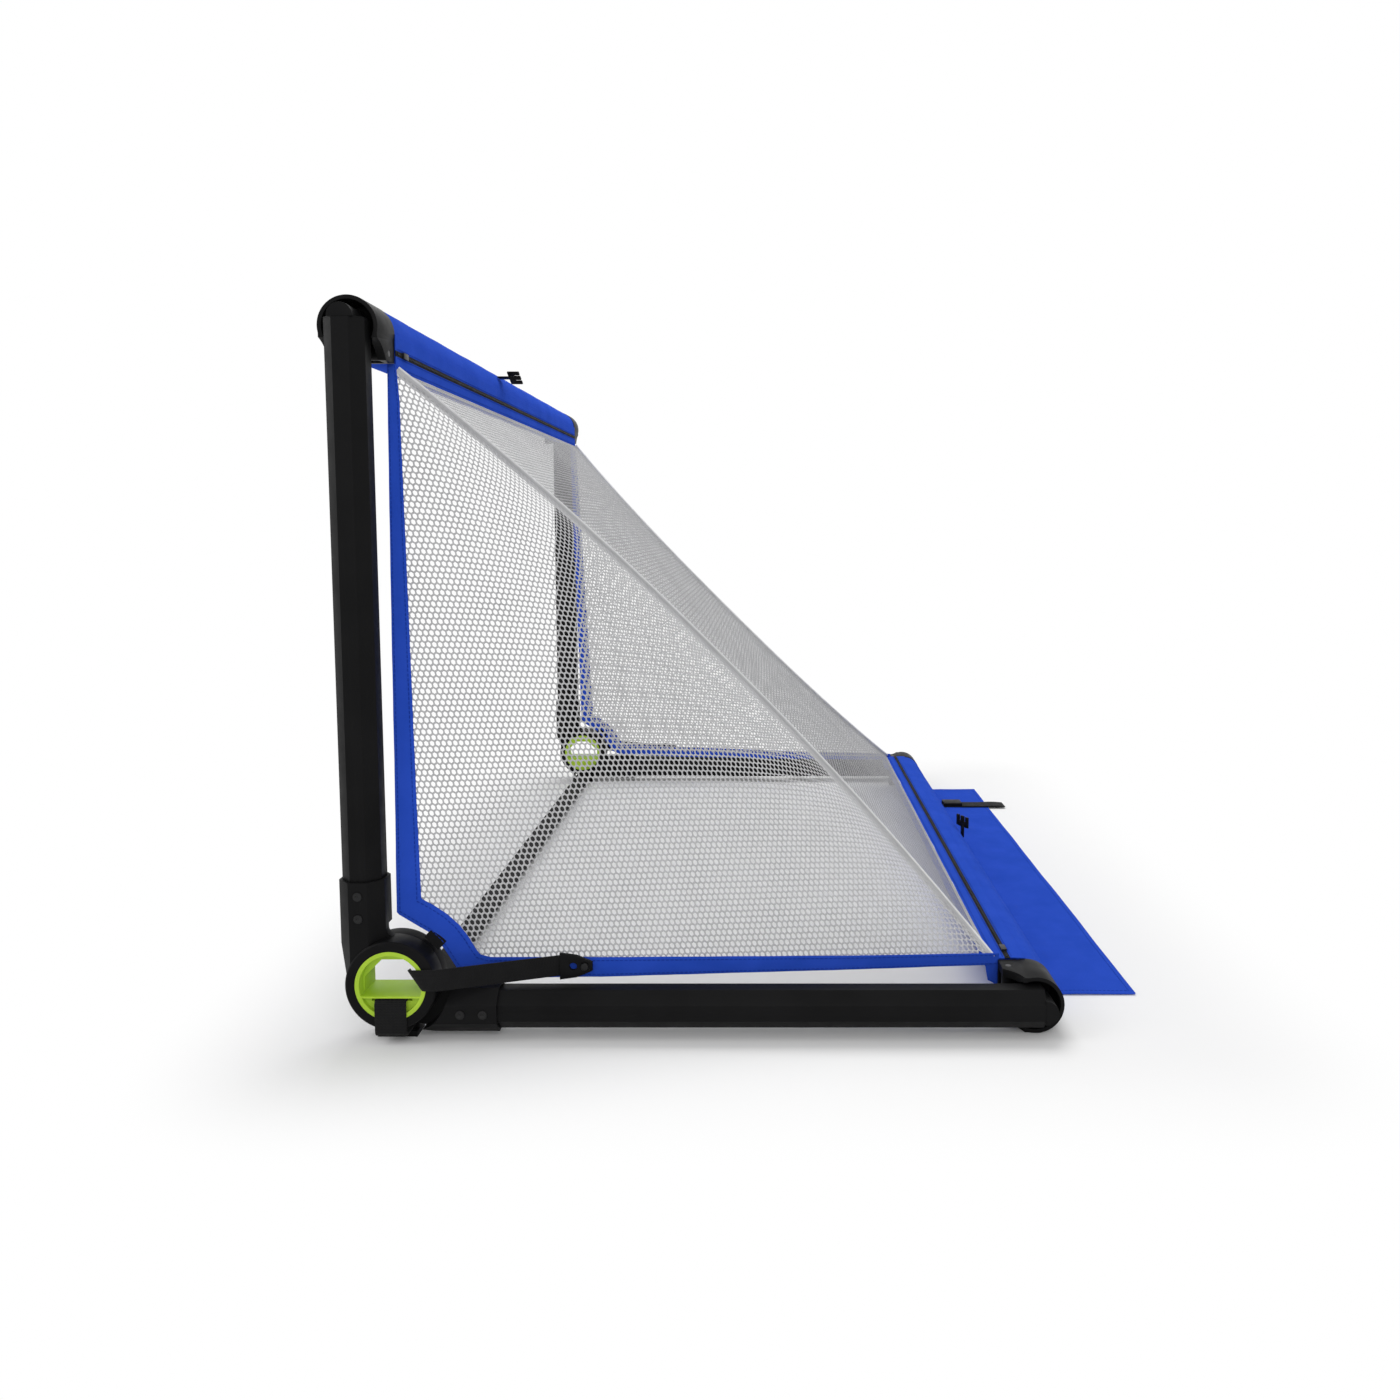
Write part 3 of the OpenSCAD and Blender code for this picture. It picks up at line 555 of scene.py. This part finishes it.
def zip_teeth(name, put):
    """Two rows of interlocked teeth down the middle of the tape."""
    pitch = 2.4 * MM
    count = int(2 * SLEEVE_END / pitch)
    piece, one = cube_row(name, count)
    index = np.repeat(np.arange(count), len(one))
    local = np.tile(one, (count, 1))
    side = np.where(index % 2 == 0, 1, -1)
    x = -SLEEVE_END + (index + 0.5) * pitch + local[:, 0] * pitch * 0.8
    z = -ZIP_AT + side * 0.55 * MM + local[:, 1] * 2.2 * MM
    y = BAND_AT + CLOTH + 0.35 * MM + local[:, 2] * 0.9 * MM
    set_points(piece, np.stack(put(x, y, z), axis=1))
    merge(piece, 1e-9, outward=True)
    return piece


for bar, put, body, seed in (("crossbar", on_crossbar, "crossbar_frame", 0.4),
                             ("rear", on_rear_bar, "rear_frame", 1.9)):
    tube = sleeve(f"{bar}_sleeve_cloth", put, seed)
    dress(tube, BLUE_CLOTH, body, [f"{bar}_sleeve"])
    upper = band_strip(f"{bar}_band_upper", put, 0, ZIP_TOP, seed)
    lower = band_strip(f"{bar}_band_lower", put, ZIP_FOOT, BAND_W, seed)
    cloth = join(f"{bar}_band_cloth", [upper, lower])
    dress(cloth, BLUE_CLOTH, body, [f"{bar}_band"])
    tape = band_strip(f"{bar}_zip_tape", put, ZIP_TOP, ZIP_FOOT, seed, 0.9 * MM)
    dress(tape, BLACK_WEBBING, body, [f"{bar}_zip"])
    dress(zip_teeth(f"{bar}_zip_teeth", put), ZIP_TEETH, body)
    for row, down in (("a", ZIP_TOP - 1.6 * MM), ("b", ZIP_FOOT + 1.6 * MM),
                      ("c", BAND_W - 3 * MM)):
        def lay(a, b, lift, put=put, down=down):
            return put(a, BAND_AT + CLOTH + lift + 0.25 * MM, b - down)
        line = stitches(f"{bar}_band_stitch_{row}", [(-SLEEVE_END, 0), (SLEEVE_END, 0)], lay)
        dress(line, BLUE_STITCH, body)
    moulded(f"{bar}_zip_slider", 0.4 * MM, BLACK_RIVET, f"{bar}_zip_pull")

# ---- side borders, nets and seams ------------------------------------------------------

# the border's outlines in millimetres, measured from the post's axis and from the floor
BORDER_OUTER = [(21.5, 690), (21.8, 653), (24.2, 448), (27.4, 242), (28.3, 150), (28.6, 125.2),
                (47.3, 113.3), (60.9, 105), (72.2, 93), (78.9, 83.5), (85.6, 72.7), (92, 63),
                (108, 56), (236, 53), (512, 52.6), (662, 53.3)]
BORDER_INNER = [(30.3, 690), (33.6, 653), (41.4, 448), (49, 242), (52.5, 161.5), (53.3, 139.5),
                (66.3, 132.4), (79.9, 122.8), (91.3, 112.1), (100.2, 100.2), (108, 87.1),
                (113.2, 80), (123.8, 77), (236, 73.6), (512, 67.2), (662, 65.7)]
SLANT = math.sqrt(0.5)


def in_frame(outline):
    return np.array([(FRONT_Y + y * MM, z * MM) for y, z in outline])


OUTER, INNER = in_frame(BORDER_OUTER), in_frame(BORDER_INNER)
NET_TOP = np.array([FRONT_Y + BAND_AT + CLOTH, BAR_Z - BAND_W])
NET_REAR = np.array([REAR_Y - BAND_W, LEG_Z + BAND_AT + CLOTH])
SLOPE_LEN = np.linalg.norm(NET_REAR - NET_TOP)
SLOPE_AT = NET_TOP.sum() * SLANT
LEAN = (SIDE_X - SLEEVE_END) / (SLOPE_AT - (HUB_Y + 72 * MM + BORDER_LOW) * SLANT)
WAIST_IN = 218 * MM


def side_face(y, z):
    """Side place of the leaning border's inner face."""
    return SLEEVE_END + LEAN * (SLOPE_AT - (y + z) * SLANT)


def drawn_in(share):
    """How far the seam lies inboard of the bands' ends at a share of the slope."""
    return WAIST_IN * (1 - np.abs(2 * np.clip(share, 0, 1) - 1) ** 2.3)


def fold_like_a_fan(piece):
    """Bakes the piece's place into its points, which are read but not turned.
    """
    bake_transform(piece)
    points = points_of(piece)
    return piece


def mesh_sheet(name, wide, tall, sunk):
    """Knitted mesh laid flat over (0, 0) to (wide, tall): rings of thread round slanted holes."""
    deselect()
    bpy.ops.mesh.primitive_circle_add(vertices=6, radius=PITCH / math.sqrt(3), fill_type="NGON")
    piece = bpy.context.active_object
    piece.name = name
    bpy.ops.object.mode_set(mode="EDIT")
    bpy.ops.mesh.select_all(action="SELECT")
    bpy.ops.mesh.inset(thickness=THREAD / 2, depth=-sunk)
    bpy.ops.mesh.delete(type="FACE")
    bpy.ops.object.mode_set(mode="OBJECT")
    row = PITCH * math.sqrt(3) / 2
    modify(piece, "ARRAY", count=2, use_relative_offset=False, use_constant_offset=True,
           constant_offset_displace=(PITCH / 2, row, 0))
    rows = int(tall / MESH_RISE / (2 * row)) + 2
    modify(piece, "ARRAY", count=rows, use_relative_offset=False, use_constant_offset=True,
           constant_offset_displace=(0, 2 * row, 0))
    columns = int((wide + MESH_SLIP * tall / MESH_RISE) / PITCH) + 2
    modify(piece, "ARRAY", count=columns, use_relative_offset=False, use_constant_offset=True,
           constant_offset_displace=(PITCH, 0, 0))
    points = points_of(piece)
    points[:, 0] -= MESH_SLIP * points[:, 1]
    points[:, 1] *= MESH_RISE
    set_points(piece, points)
    return piece


def keep_faces(piece, inside):
    """Deletes the faces whose middle isn't inside; inside takes the flat x and y."""
    count = len(piece.data.polygons)
    centres = np.zeros(count * 3)
    piece.data.polygons.foreach_get("center", centres)
    centres = centres.reshape(-1, 3)
    pick(piece)
    bpy.ops.object.mode_set(mode="EDIT")
    bpy.ops.mesh.select_mode(type="FACE")
    bpy.ops.mesh.select_all(action="DESELECT")
    bpy.ops.object.mode_set(mode="OBJECT")
    piece.data.polygons.foreach_set("select", ~inside(centres[:, 0], centres[:, 1]))
    bpy.ops.object.mode_set(mode="EDIT")
    bpy.ops.mesh.delete(type="FACE")
    bpy.ops.object.mode_set(mode="OBJECT")
    merge(piece, 1e-5)


def map_flat(piece):
    """Gives the flat sheet a map in metres from its own x and y."""
    layer = piece.data.uv_layers.active or piece.data.uv_layers.new(name="cut")
    corner = np.zeros(len(piece.data.loops), np.int32)
    piece.data.loops.foreach_get("vertex_index", corner)
    layer.data.foreach_set("uv", points_of(piece)[corner][:, :2].ravel())


def side_section(y, z):
    """The side net's section through each flat point: a quarter ellipse from border to seam."""
    middle_line = (OUTER + INNER) / 2
    border_place = ((middle_line[:, 0] - NET_TOP[0]) - (middle_line[:, 1] - NET_TOP[1])) * SLANT
    place = ((y - NET_TOP[0]) - (z - NET_TOP[1])) * SLANT
    start = np.interp(place, border_place, middle_line.sum(axis=1) * SLANT)
    deep = np.maximum(SLOPE_AT - start, 0.1 * MM)
    draw = drawn_in(place / SLOPE_LEN)
    turn = np.linspace(0, math.pi / 2, 48)
    run = np.outer(deep, np.cos(turn))
    step = np.hypot(run, LEAN * run + np.outer(draw, np.sin(turn)))
    arc = np.zeros_like(step)
    arc[:, 1:] = np.cumsum((step[:, 1:] + step[:, :-1]) / 2 * turn[1], axis=1)
    return place, deep, draw, (y + z) * SLANT - start, arc, turn


def side_net(name):
    """Mesh laid by its length over the sections, so that it thins out towards the seam."""
    corner = np.array([OUTER[0][0], BORDER_LOW])
    piece = mesh_sheet(name, NET_REAR[0] - corner[0], NET_TOP[1] + 10 * MM - corner[1], 0.5 * MM)

    def inside(a, b):
        place, deep, draw, way, arc, turn = side_section(a + corner[0], b + corner[1])
        return (way > 0) & (way < arc[:, -1]) & (place > 0) & (place < SLOPE_LEN)

    keep_faces(piece, inside)
    map_flat(piece)
    flat = points_of(piece)
    place, deep, draw, way, arc, turn = side_section(flat[:, 0] + corner[0],
                                                     flat[:, 1] + corner[1])
    at = np.clip((arc < way[:, None]).sum(axis=1), 1, len(turn) - 1)
    rows = np.arange(len(at))
    low, high = arc[rows, at - 1], arc[rows, at]
    angle = turn[1] * (at - 1 + np.clip((way - low) / np.maximum(high - low, 1e-9), 0, 1))
    depth = deep * (1 - np.sin(angle))
    x = SLEEVE_END + LEAN * depth - draw * (1 - np.cos(angle)) - 0.5 * MM
    run, fall = deep * np.cos(angle), LEAN * deep * np.cos(angle) + draw * np.sin(angle)
    size = np.maximum(np.hypot(run, fall), 1e-9)
    lift = flat[:, 2]
    across = SLOPE_AT - depth + lift * fall / size
    along = place + (NET_TOP[0] - NET_TOP[1]) * SLANT
    set_points(piece, np.stack([x + lift * run / size, (across + along) * SLANT,
                                (across - along) * SLANT], axis=1))
    return piece


def back_net(name, x_from, x_to):
    """A part of the back net between two places across the goal."""
    piece = mesh_sheet(name, x_to - x_from, SLOPE_LEN, 0.28 * MM)

    def inside(a, b):
        reach = SLEEVE_END - drawn_in(b / SLOPE_LEN)
        on_part = (a >= 0) & (a < x_to - x_from) & (b > 0) & (b < SLOPE_LEN)
        return on_part & (np.abs(a + x_from) < reach)

    keep_faces(piece, inside)
    map_flat(piece)
    flat = points_of(piece)
    x, share = x_from + flat[:, 0], flat[:, 1] / SLOPE_LEN
    out = (flat[:, 2] + ripples(x * 7, share * 9, 1.2 * MM, 0.3) * np.sin(math.pi * share)) * SLANT
    y = NET_TOP[0] + (NET_REAR[0] - NET_TOP[0]) * share
    z = NET_TOP[1] + (NET_REAR[1] - NET_TOP[1]) * share
    set_points(piece, np.stack([x, y + out, z + out], axis=1))
    return piece


def lay_sheet(net, finish, nodes):
    """Dresses a net in its finish in place of the given parts, then runs fold_like_a_fan on it.
    A stated area has to be 0.3 to 1 of wide x long, so it is kept to that.
    """
    dress(net, finish, stands_for=nodes)
    fold_like_a_fan(net)


third = PITCH * math.ceil(2 * SLEEVE_END / 3 / PITCH)
for k, part in enumerate(("left", "middle", "right")):
    start = third * (k - 1.5)
    back = back_net(f"back_net_{part}", start, start + third)
    # the back net gets the darker copy of the white mesh, which is painted shade
    lay_sheet(back, BACK_MESH_PAINTED_SHADE, ["net_back"])
side_right = side_net("side_net_right")
side_left = mirrored(side_right, "side_net_left")
for side, net in (("right", side_right), ("left", side_left)):
    lay_sheet(net, WHITE_MESH, [f"net_side_{side}"])


def border_cloth(name):
    rows = np.linalg.norm(np.diff(OUTER, axis=0), axis=1)
    at = np.concatenate([[0], np.cumsum(rows)]) / rows.sum()

    def shape(u, v):
        oy, oz = (np.interp(v, at, OUTER[:, k]) for k in (0, 1))
        iy, iz = (np.interp(v, at, INNER[:, k]) for k in (0, 1))
        y, z = oy + (iy - oy) * u, oz + (iz - oz) * u
        return side_face(y, z) + CLOTH / 2 + ripples(v * 60, u * 2, 0.4 * MM, 0.9), y, z

    piece = surface(name, 6, 320, shape, (0.02, rows.sum()))
    return thicken(piece, CLOTH, edge=0.3 * MM)


SEAM_W = 7 * MM
SEAM_CORD_R = 1.1 * MM


def seam_line(v, across):
    """The seam from band to band; across moves it square to the slope."""
    y = NET_TOP[0] + (NET_REAR[0] - NET_TOP[0]) * v + across * SLANT
    z = NET_TOP[1] + (NET_REAR[1] - NET_TOP[1]) * v + across * SLANT
    return SLEEVE_END - drawn_in(v), y, z


def seam_tape(name):
    def shape(u, v):
        x, y, z = seam_line(v, (u - 0.5) * SEAM_W)
        return x + 0.3 * MM, y, z

    return thicken(surface(name, 3, 160, shape, (0.007, SLOPE_LEN)), 0.7 * MM, edge=0.2 * MM)


def seam_cord(name, across):
    def shape(u, v):
        x, y, z = seam_line(v, across + SEAM_CORD_R * np.sin(2 * math.pi * u))
        return x + 0.3 * MM + SEAM_CORD_R * np.cos(2 * math.pi * u), y, z

    piece = surface(name, 12, 160, shape, (0.006, SLOPE_LEN))
    merge(piece)
    bpy.ops.object.mode_set(mode="EDIT")
    bpy.ops.mesh.select_all(action="SELECT")
    bpy.ops.mesh.fill_holes(sides=0)
    bpy.ops.object.mode_set(mode="OBJECT")
    merge(piece, outward=True)
    smooth(piece, 60)
    return piece


def on_border(a, b, lift):
    return side_face(a, b) + CLOTH + 0.35 * MM + lift, a, b


def both_sides(piece, material, node=None):
    """Dresses a right-hand piece and its mirror image, and runs fold_like_a_fan on both."""
    twin = mirrored(piece, piece.name.replace("right", "left"))
    for side, part in (("right", piece), ("left", twin)):
        dress(part, material, stands_for=[f"{node}_{side}"] if node else ())
        fold_like_a_fan(part)


both_sides(border_cloth("border_cloth_right"), BLUE_CLOTH, "net_border")
both_sides(seam_tape("net_seam_right"), WHITE_MESH)
both_sides(seam_cord("net_seam_inner_cord_right", -SEAM_W / 2), WHITE_TAPE)
both_sides(seam_cord("net_seam_outer_cord_right", SEAM_W / 2), WHITE_TAPE)
both_sides(stitches("border_stitch_outer_right", OUTER + (INNER - OUTER) * 0.14, on_border),
           BLUE_STITCH)
both_sides(stitches("border_stitch_inner_right", OUTER + (INNER - OUTER) * 0.84, on_border),
           BLUE_STITCH)


def end_tab(name):
    """Cloth tab from the border's rear end down to the rear sleeve."""

    def shape(u, v):
        y = FRONT_Y + (647 + 14 * u + 3 * v * (1 - u)) * MM
        z = (54 - 23 * v + 5 * v * (1 - u)) * MM
        return SLEEVE_END + 0.6 * MM + 0 * u, y, z

    return thicken(surface(name, 4, 8, shape, (0.014, 0.023)), CLOTH, edge=0.3 * MM)


end_tab_right = end_tab("border_end_tab_right")
for tab in (end_tab_right, mirrored(end_tab_right, "border_end_tab_left")):
    dress(tab, BLUE_CLOTH, "rear_frame")

for bar, put in (("crossbar", on_crossbar), ("rear", on_rear_bar)):
    strip = band_strip(f"{bar}_net_hem", put, BAND_W - 1 * MM, BAND_W + 3.5 * MM, 0.8, 0.7 * MM,
                       SLEEVE_END - 2 * MM)
    dress(strip, WHITE_TAPE, f"{bar}_frame")

# ---- straps ----------------------------------------------------------------------------


def ribbon(name, path, across, thickness, steps):
    """Webbing along a path of 3-D points; across is the vector from edge to edge."""
    path = np.array(path, float)
    total = np.linalg.norm(np.diff(path, axis=0), axis=1).sum()

    def shape(u, v):
        return [at + (u - 0.5) * wide for at, wide in zip(along_path(path, v), across)]

    piece = surface(name, 6, steps, shape, (float(np.linalg.norm(across)), float(total)))
    return thicken(piece, thickness, edge=0.4 * MM)


def floor_strap():
    wide = STRAP_HIGH - STRAP_LOW
    y = (STRAP_HIGH + STRAP_LOW) / 2
    face = HUB_FACE + 1.3 * MM
    slot_z = HUB_Z - 14.8 * MM
    z = FLOOR_STRAP_Z + 1 * MM
    path = [(-face + 9 * MM, y, slot_z), (-face, y, slot_z), (-face, y, z), (face, y, z),
            (face, y, slot_z), (face - 9 * MM, y, slot_z)]
    return ribbon("floor_webbing", rounded(path, 5 * MM), (0, wide, 0), WEBBING, steps=700)


dress(floor_strap(), BLACK_WEBBING, "rear_frame", ["floor_strap"])


def tension_strap():
    """From inside the bush over its rim and along the border to the fitting."""
    face = STRAP_FACE
    end_x = span("strap_fitting_right", 0)[0] + 1 * MM
    top = [(face - 10 * MM, FRONT_Y + 48.5 * MM, 76 * MM), (face, FRONT_Y + 49.1 * MM, 78.2 * MM),
           (face, FRONT_Y + 76 * MM, 78.6 * MM), (end_x, FRONT_Y + 196 * MM, 78.4 * MM)]
    low = [(face - 10 * MM, FRONT_Y + 61 * MM, 55.4 * MM), (face, FRONT_Y + 63.6 * MM, 56.6 * MM),
           (face, FRONT_Y + 80 * MM, 56.6 * MM), (end_x, FRONT_Y + 196 * MM, 56.6 * MM)]
    top, low = rounded(top, 6 * MM), rounded(low, 6 * MM)

    def shape(u, v):
        a, b = along_path(top, v), along_path(low, v)
        return [a[k] + (b[k] - a[k]) * u for k in range(3)]

    piece = surface("tension_webbing_right", 6, 100, shape, (0.02, 0.16))
    return thicken(piece, WEBBING, edge=0.4 * MM)


strap = tension_strap()
strap_twin = mirrored(strap, "tension_webbing_left")
for side, piece in (("right", strap), ("left", strap_twin)):
    dress(piece, BLACK_WEBBING, "rear_frame", [f"tension_strap_{side}"])
    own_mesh(piece)
    fitting = moulded(f"strap_fitting_{side}", 1.2 * MM, BLACK_PLASTIC,
                      "rear_frame")
    stud = moulded(f"strap_stud_{side}", 0.6 * MM, BLACK_RIVET, "rear_frame")
    for part in (fitting, stud):
        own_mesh(part)


def corner_tab(name):
    """Short webbing from the hub ring to behind the border's cut corner."""
    low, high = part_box("corner_tab_right")
    x = (low[0] + high[0]) / 2
    near, far = 46.3 * MM, 61 * MM

    def shape(u, v):
        r = near + (far - near) * v
        w = (u - 0.5) * 20 * MM
        return x - 4 * MM * v, HUB_Y + (r - w) * SLANT, HUB_Z + (r + w) * SLANT

    return thicken(surface(name, 4, 12, shape, (0.018, 0.023)), 1.6 * MM, edge=0.3 * MM)


both_sides(corner_tab("corner_webbing_right"), BLACK_WEBBING, "corner_tab")

# ---- buckles ---------------------------------------------------------------------------

fork = moulded("crossbar_buckle", 0.8 * MM, BLACK_PLASTIC, "crossbar_frame")
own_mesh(fork)
moulded("rear_buckle", 0.8 * MM, BLACK_PLASTIC, "rear_frame")
moulded("flap_buckle", 1.0 * MM, BLACK_PLASTIC, "flap_panel")

# ---- flap ------------------------------------------------------------------------------


def flap_wave(x, y, share):
    """Rise of the cloth off the floor at a share of the way from the seam to the free edge."""
    wave = (ripples(x * 11, y * 16, 1.0 * MM, 2.2) + 0.6 * MM) * np.clip(share * 3, 0, 1)
    return np.clip(wave, 0, None)


def flap_cloth():
    def shape(u, v):
        x = (2 * v - 1) * FLAP_HALF
        y = FLAP_FROM + (FLAP_TO - FLAP_FROM) * u
        return x, y, (FLAP_LOW + FLAP_HIGH) / 2 + flap_wave(x, y, u)

    piece = surface("flap_cloth", 24, 160, shape, (FLAP_TO - FLAP_FROM, 2 * FLAP_HALF))
    return thicken(piece, FLAP_HIGH - FLAP_LOW - 0.2 * MM, edge=0.4 * MM)


dress(flap_cloth(), BLUE_CLOTH, "flap_panel", ["flap"])
hem_in = 6 * MM
hem_x = FLAP_HALF - hem_in
hem_path = [(-hem_x, FLAP_FROM + hem_in), (-hem_x, FLAP_TO - hem_in),
            (hem_x, FLAP_TO - hem_in), (hem_x, FLAP_FROM + hem_in)]


def on_flap(a, b, lift):
    share = np.clip((b - FLAP_FROM) / (FLAP_TO - FLAP_FROM), 0, 1)
    return a, b, FLAP_HIGH - 0.1 * MM + flap_wave(a, b, share) + lift


dress(stitches("flap_hem_stitch", hem_path, on_flap), BLUE_STITCH, "flap_panel")


def flap_seam():
    low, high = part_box("flap_hem")

    def shape(u, v):
        x = (2 * v - 1) * FLAP_HALF
        return x, low[1] + (high[1] - low[1]) * u, (low[2] + high[2]) / 2 + 0 * u

    return thicken(surface("flap_seam_cloth", 4, 120, shape, (high[1] - low[1], 2 * FLAP_HALF)),
                   high[2] - low[2], edge=0.2 * MM)


dress(flap_seam(), BLUE_CLOTH, "rear_frame", ["flap_hem"])


def flap_strap():
    low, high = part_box("flap_strap")
    x = (low[0] + high[0]) / 2
    z = (low[2] + high[2]) / 2 + 0.8 * MM
    end = high[1]
    path = [(x, low[1], z), (x, end - 40 * MM, z), (x, end - 20 * MM, z + 1 * MM),
            (x, end, z - 0.5 * MM)]
    across = (high[0] - low[0], 0, 0)
    return ribbon("flap_webbing", rounded(path, 12 * MM), across, WEBBING, steps=60)


dress(flap_strap(), BLACK_WEBBING, "flap_panel", ["flap_strap"])

# ---- studio ----------------------------------------------------------------------------


FOOTPRINT_HALF = (0.6, 0.42)
FADE_REACH = 0.22


def floor_finish():
    """Pale floor that keeps the shadow near the goal and fades to plain white further out."""
    f = Finish("studio_floor")
    f.shader.inputs["Base Color"].default_value = (0.93, 0.93, 0.93, 1)
    f.shader.inputs["Roughness"].default_value = 0.9
    f.shader.inputs["Specular IOR Level"].default_value = 0.0
    glow = f.node("ShaderNodeEmission")
    ray = f.node("ShaderNodeLightPath")
    seen = f.math("MAXIMUM", ray.outputs["Is Camera Ray"], f.math(
        "MAXIMUM", ray.outputs["Is Glossy Ray"], ray.outputs["Is Transmission Ray"]))
    split = f.node("ShaderNodeSeparateXYZ")
    f.link(f.place.outputs["Object"], split.inputs[0])
    squares = []
    for axis, half in enumerate(FOOTPRINT_HALF):
        past = f.math("SUBTRACT", f.math("ABSOLUTE", split.outputs[axis]), half)
        squares.append(f.math("POWER", f.math("MAXIMUM", past, 0.0), 2.0))
    fade = f.node("ShaderNodeMapRange", interpolation_type="SMOOTHSTEP")
    fade.inputs["From Min"].default_value = 0.0
    fade.inputs["From Max"].default_value = FADE_REACH
    f.link(f.math("SQRT", f.math("ADD", *squares)), fade.inputs["Value"])
    mix = f.node("ShaderNodeMixShader")
    f.link(f.math("MULTIPLY", fade.outputs["Result"], seen), mix.inputs["Fac"])
    f.link(f.shader.outputs[0], mix.inputs[1])
    f.link(glow.outputs[0], mix.inputs[2])
    f.link(mix.outputs[0], f.tree.nodes["Material Output"].inputs["Surface"])
    return f.material


# each lamp's place, its size and its power
LAMPS = {
    "overhead": ((-0.8, 0.1, 2.4), 1.5, 29),
    "front": ((1.0, -2.6, 1.8), 1.6, 20),
    "side": ((3.2, 0.4, 1.8), 2.2, 30),
}
LAMPS_AIM = (0, 0, 0.3)


def studio():
    deselect()
    bpy.ops.mesh.primitive_plane_add(size=40, location=(0, 0, 0))
    floor = bpy.context.active_object
    floor.name = "studio_floor"
    floor.data.materials.append(floor_finish())
    world = bpy.data.worlds.new("studio")
    scene.world = world
    world.use_nodes = True
    nodes, links = world.node_tree.nodes, world.node_tree.links
    ray = nodes.new("ShaderNodeLightPath")
    either = nodes.new("ShaderNodeMath")
    either.operation = "MAXIMUM"
    links.new(ray.outputs["Is Camera Ray"], either.inputs[0])
    links.new(ray.outputs["Is Glossy Ray"], either.inputs[1])
    seen = nodes.new("ShaderNodeMath")
    seen.operation = "MAXIMUM"
    links.new(either.outputs[0], seen.inputs[0])
    links.new(ray.outputs["Is Transmission Ray"], seen.inputs[1])
    strength = nodes.new("ShaderNodeMapRange")
    strength.inputs["To Min"].default_value = 0.5
    strength.inputs["To Max"].default_value = 1.0
    links.new(seen.outputs[0], strength.inputs["Value"])
    sky = nodes["Background"]
    sky.inputs["Color"].default_value = (1, 1, 1, 1)
    links.new(strength.outputs[0], sky.inputs["Strength"])
    for name, (place, size, power) in LAMPS.items():
        deselect()
        bpy.ops.object.light_add(type="AREA", location=place)
        lamp = bpy.context.active_object
        lamp.name = name
        lamp.data.size = size
        lamp.data.energy = power
        aim = np.array(LAMPS_AIM) - np.array(place)
        lamp.rotation_euler = Vector(aim).to_track_quat("-Z", "Y").to_euler()


studio()


CAMERA_AT = (1.670662, -0.001118, 0.522042)
CAMERA_DIP = 0.088345
CAMERA_LENS = 28.184
CAMERA_SHIFT = (-0.04813, -0.05329)


def camera():
    """Looks at the goal from its right-hand side, tilted a little downwards."""
    data = bpy.data.cameras.new("view")
    made = bpy.data.objects.new("view", data)
    scene.collection.objects.link(made)
    made.location = CAMERA_AT
    made.rotation_euler = (math.pi / 2 - CAMERA_DIP, 0, math.pi / 2)
    data.sensor_width = 36
    data.lens = CAMERA_LENS
    data.shift_x, data.shift_y = CAMERA_SHIFT
    data.clip_start, data.clip_end = 0.05, 60
    scene.camera = made


camera()
scene.view_settings.view_transform = "Standard"
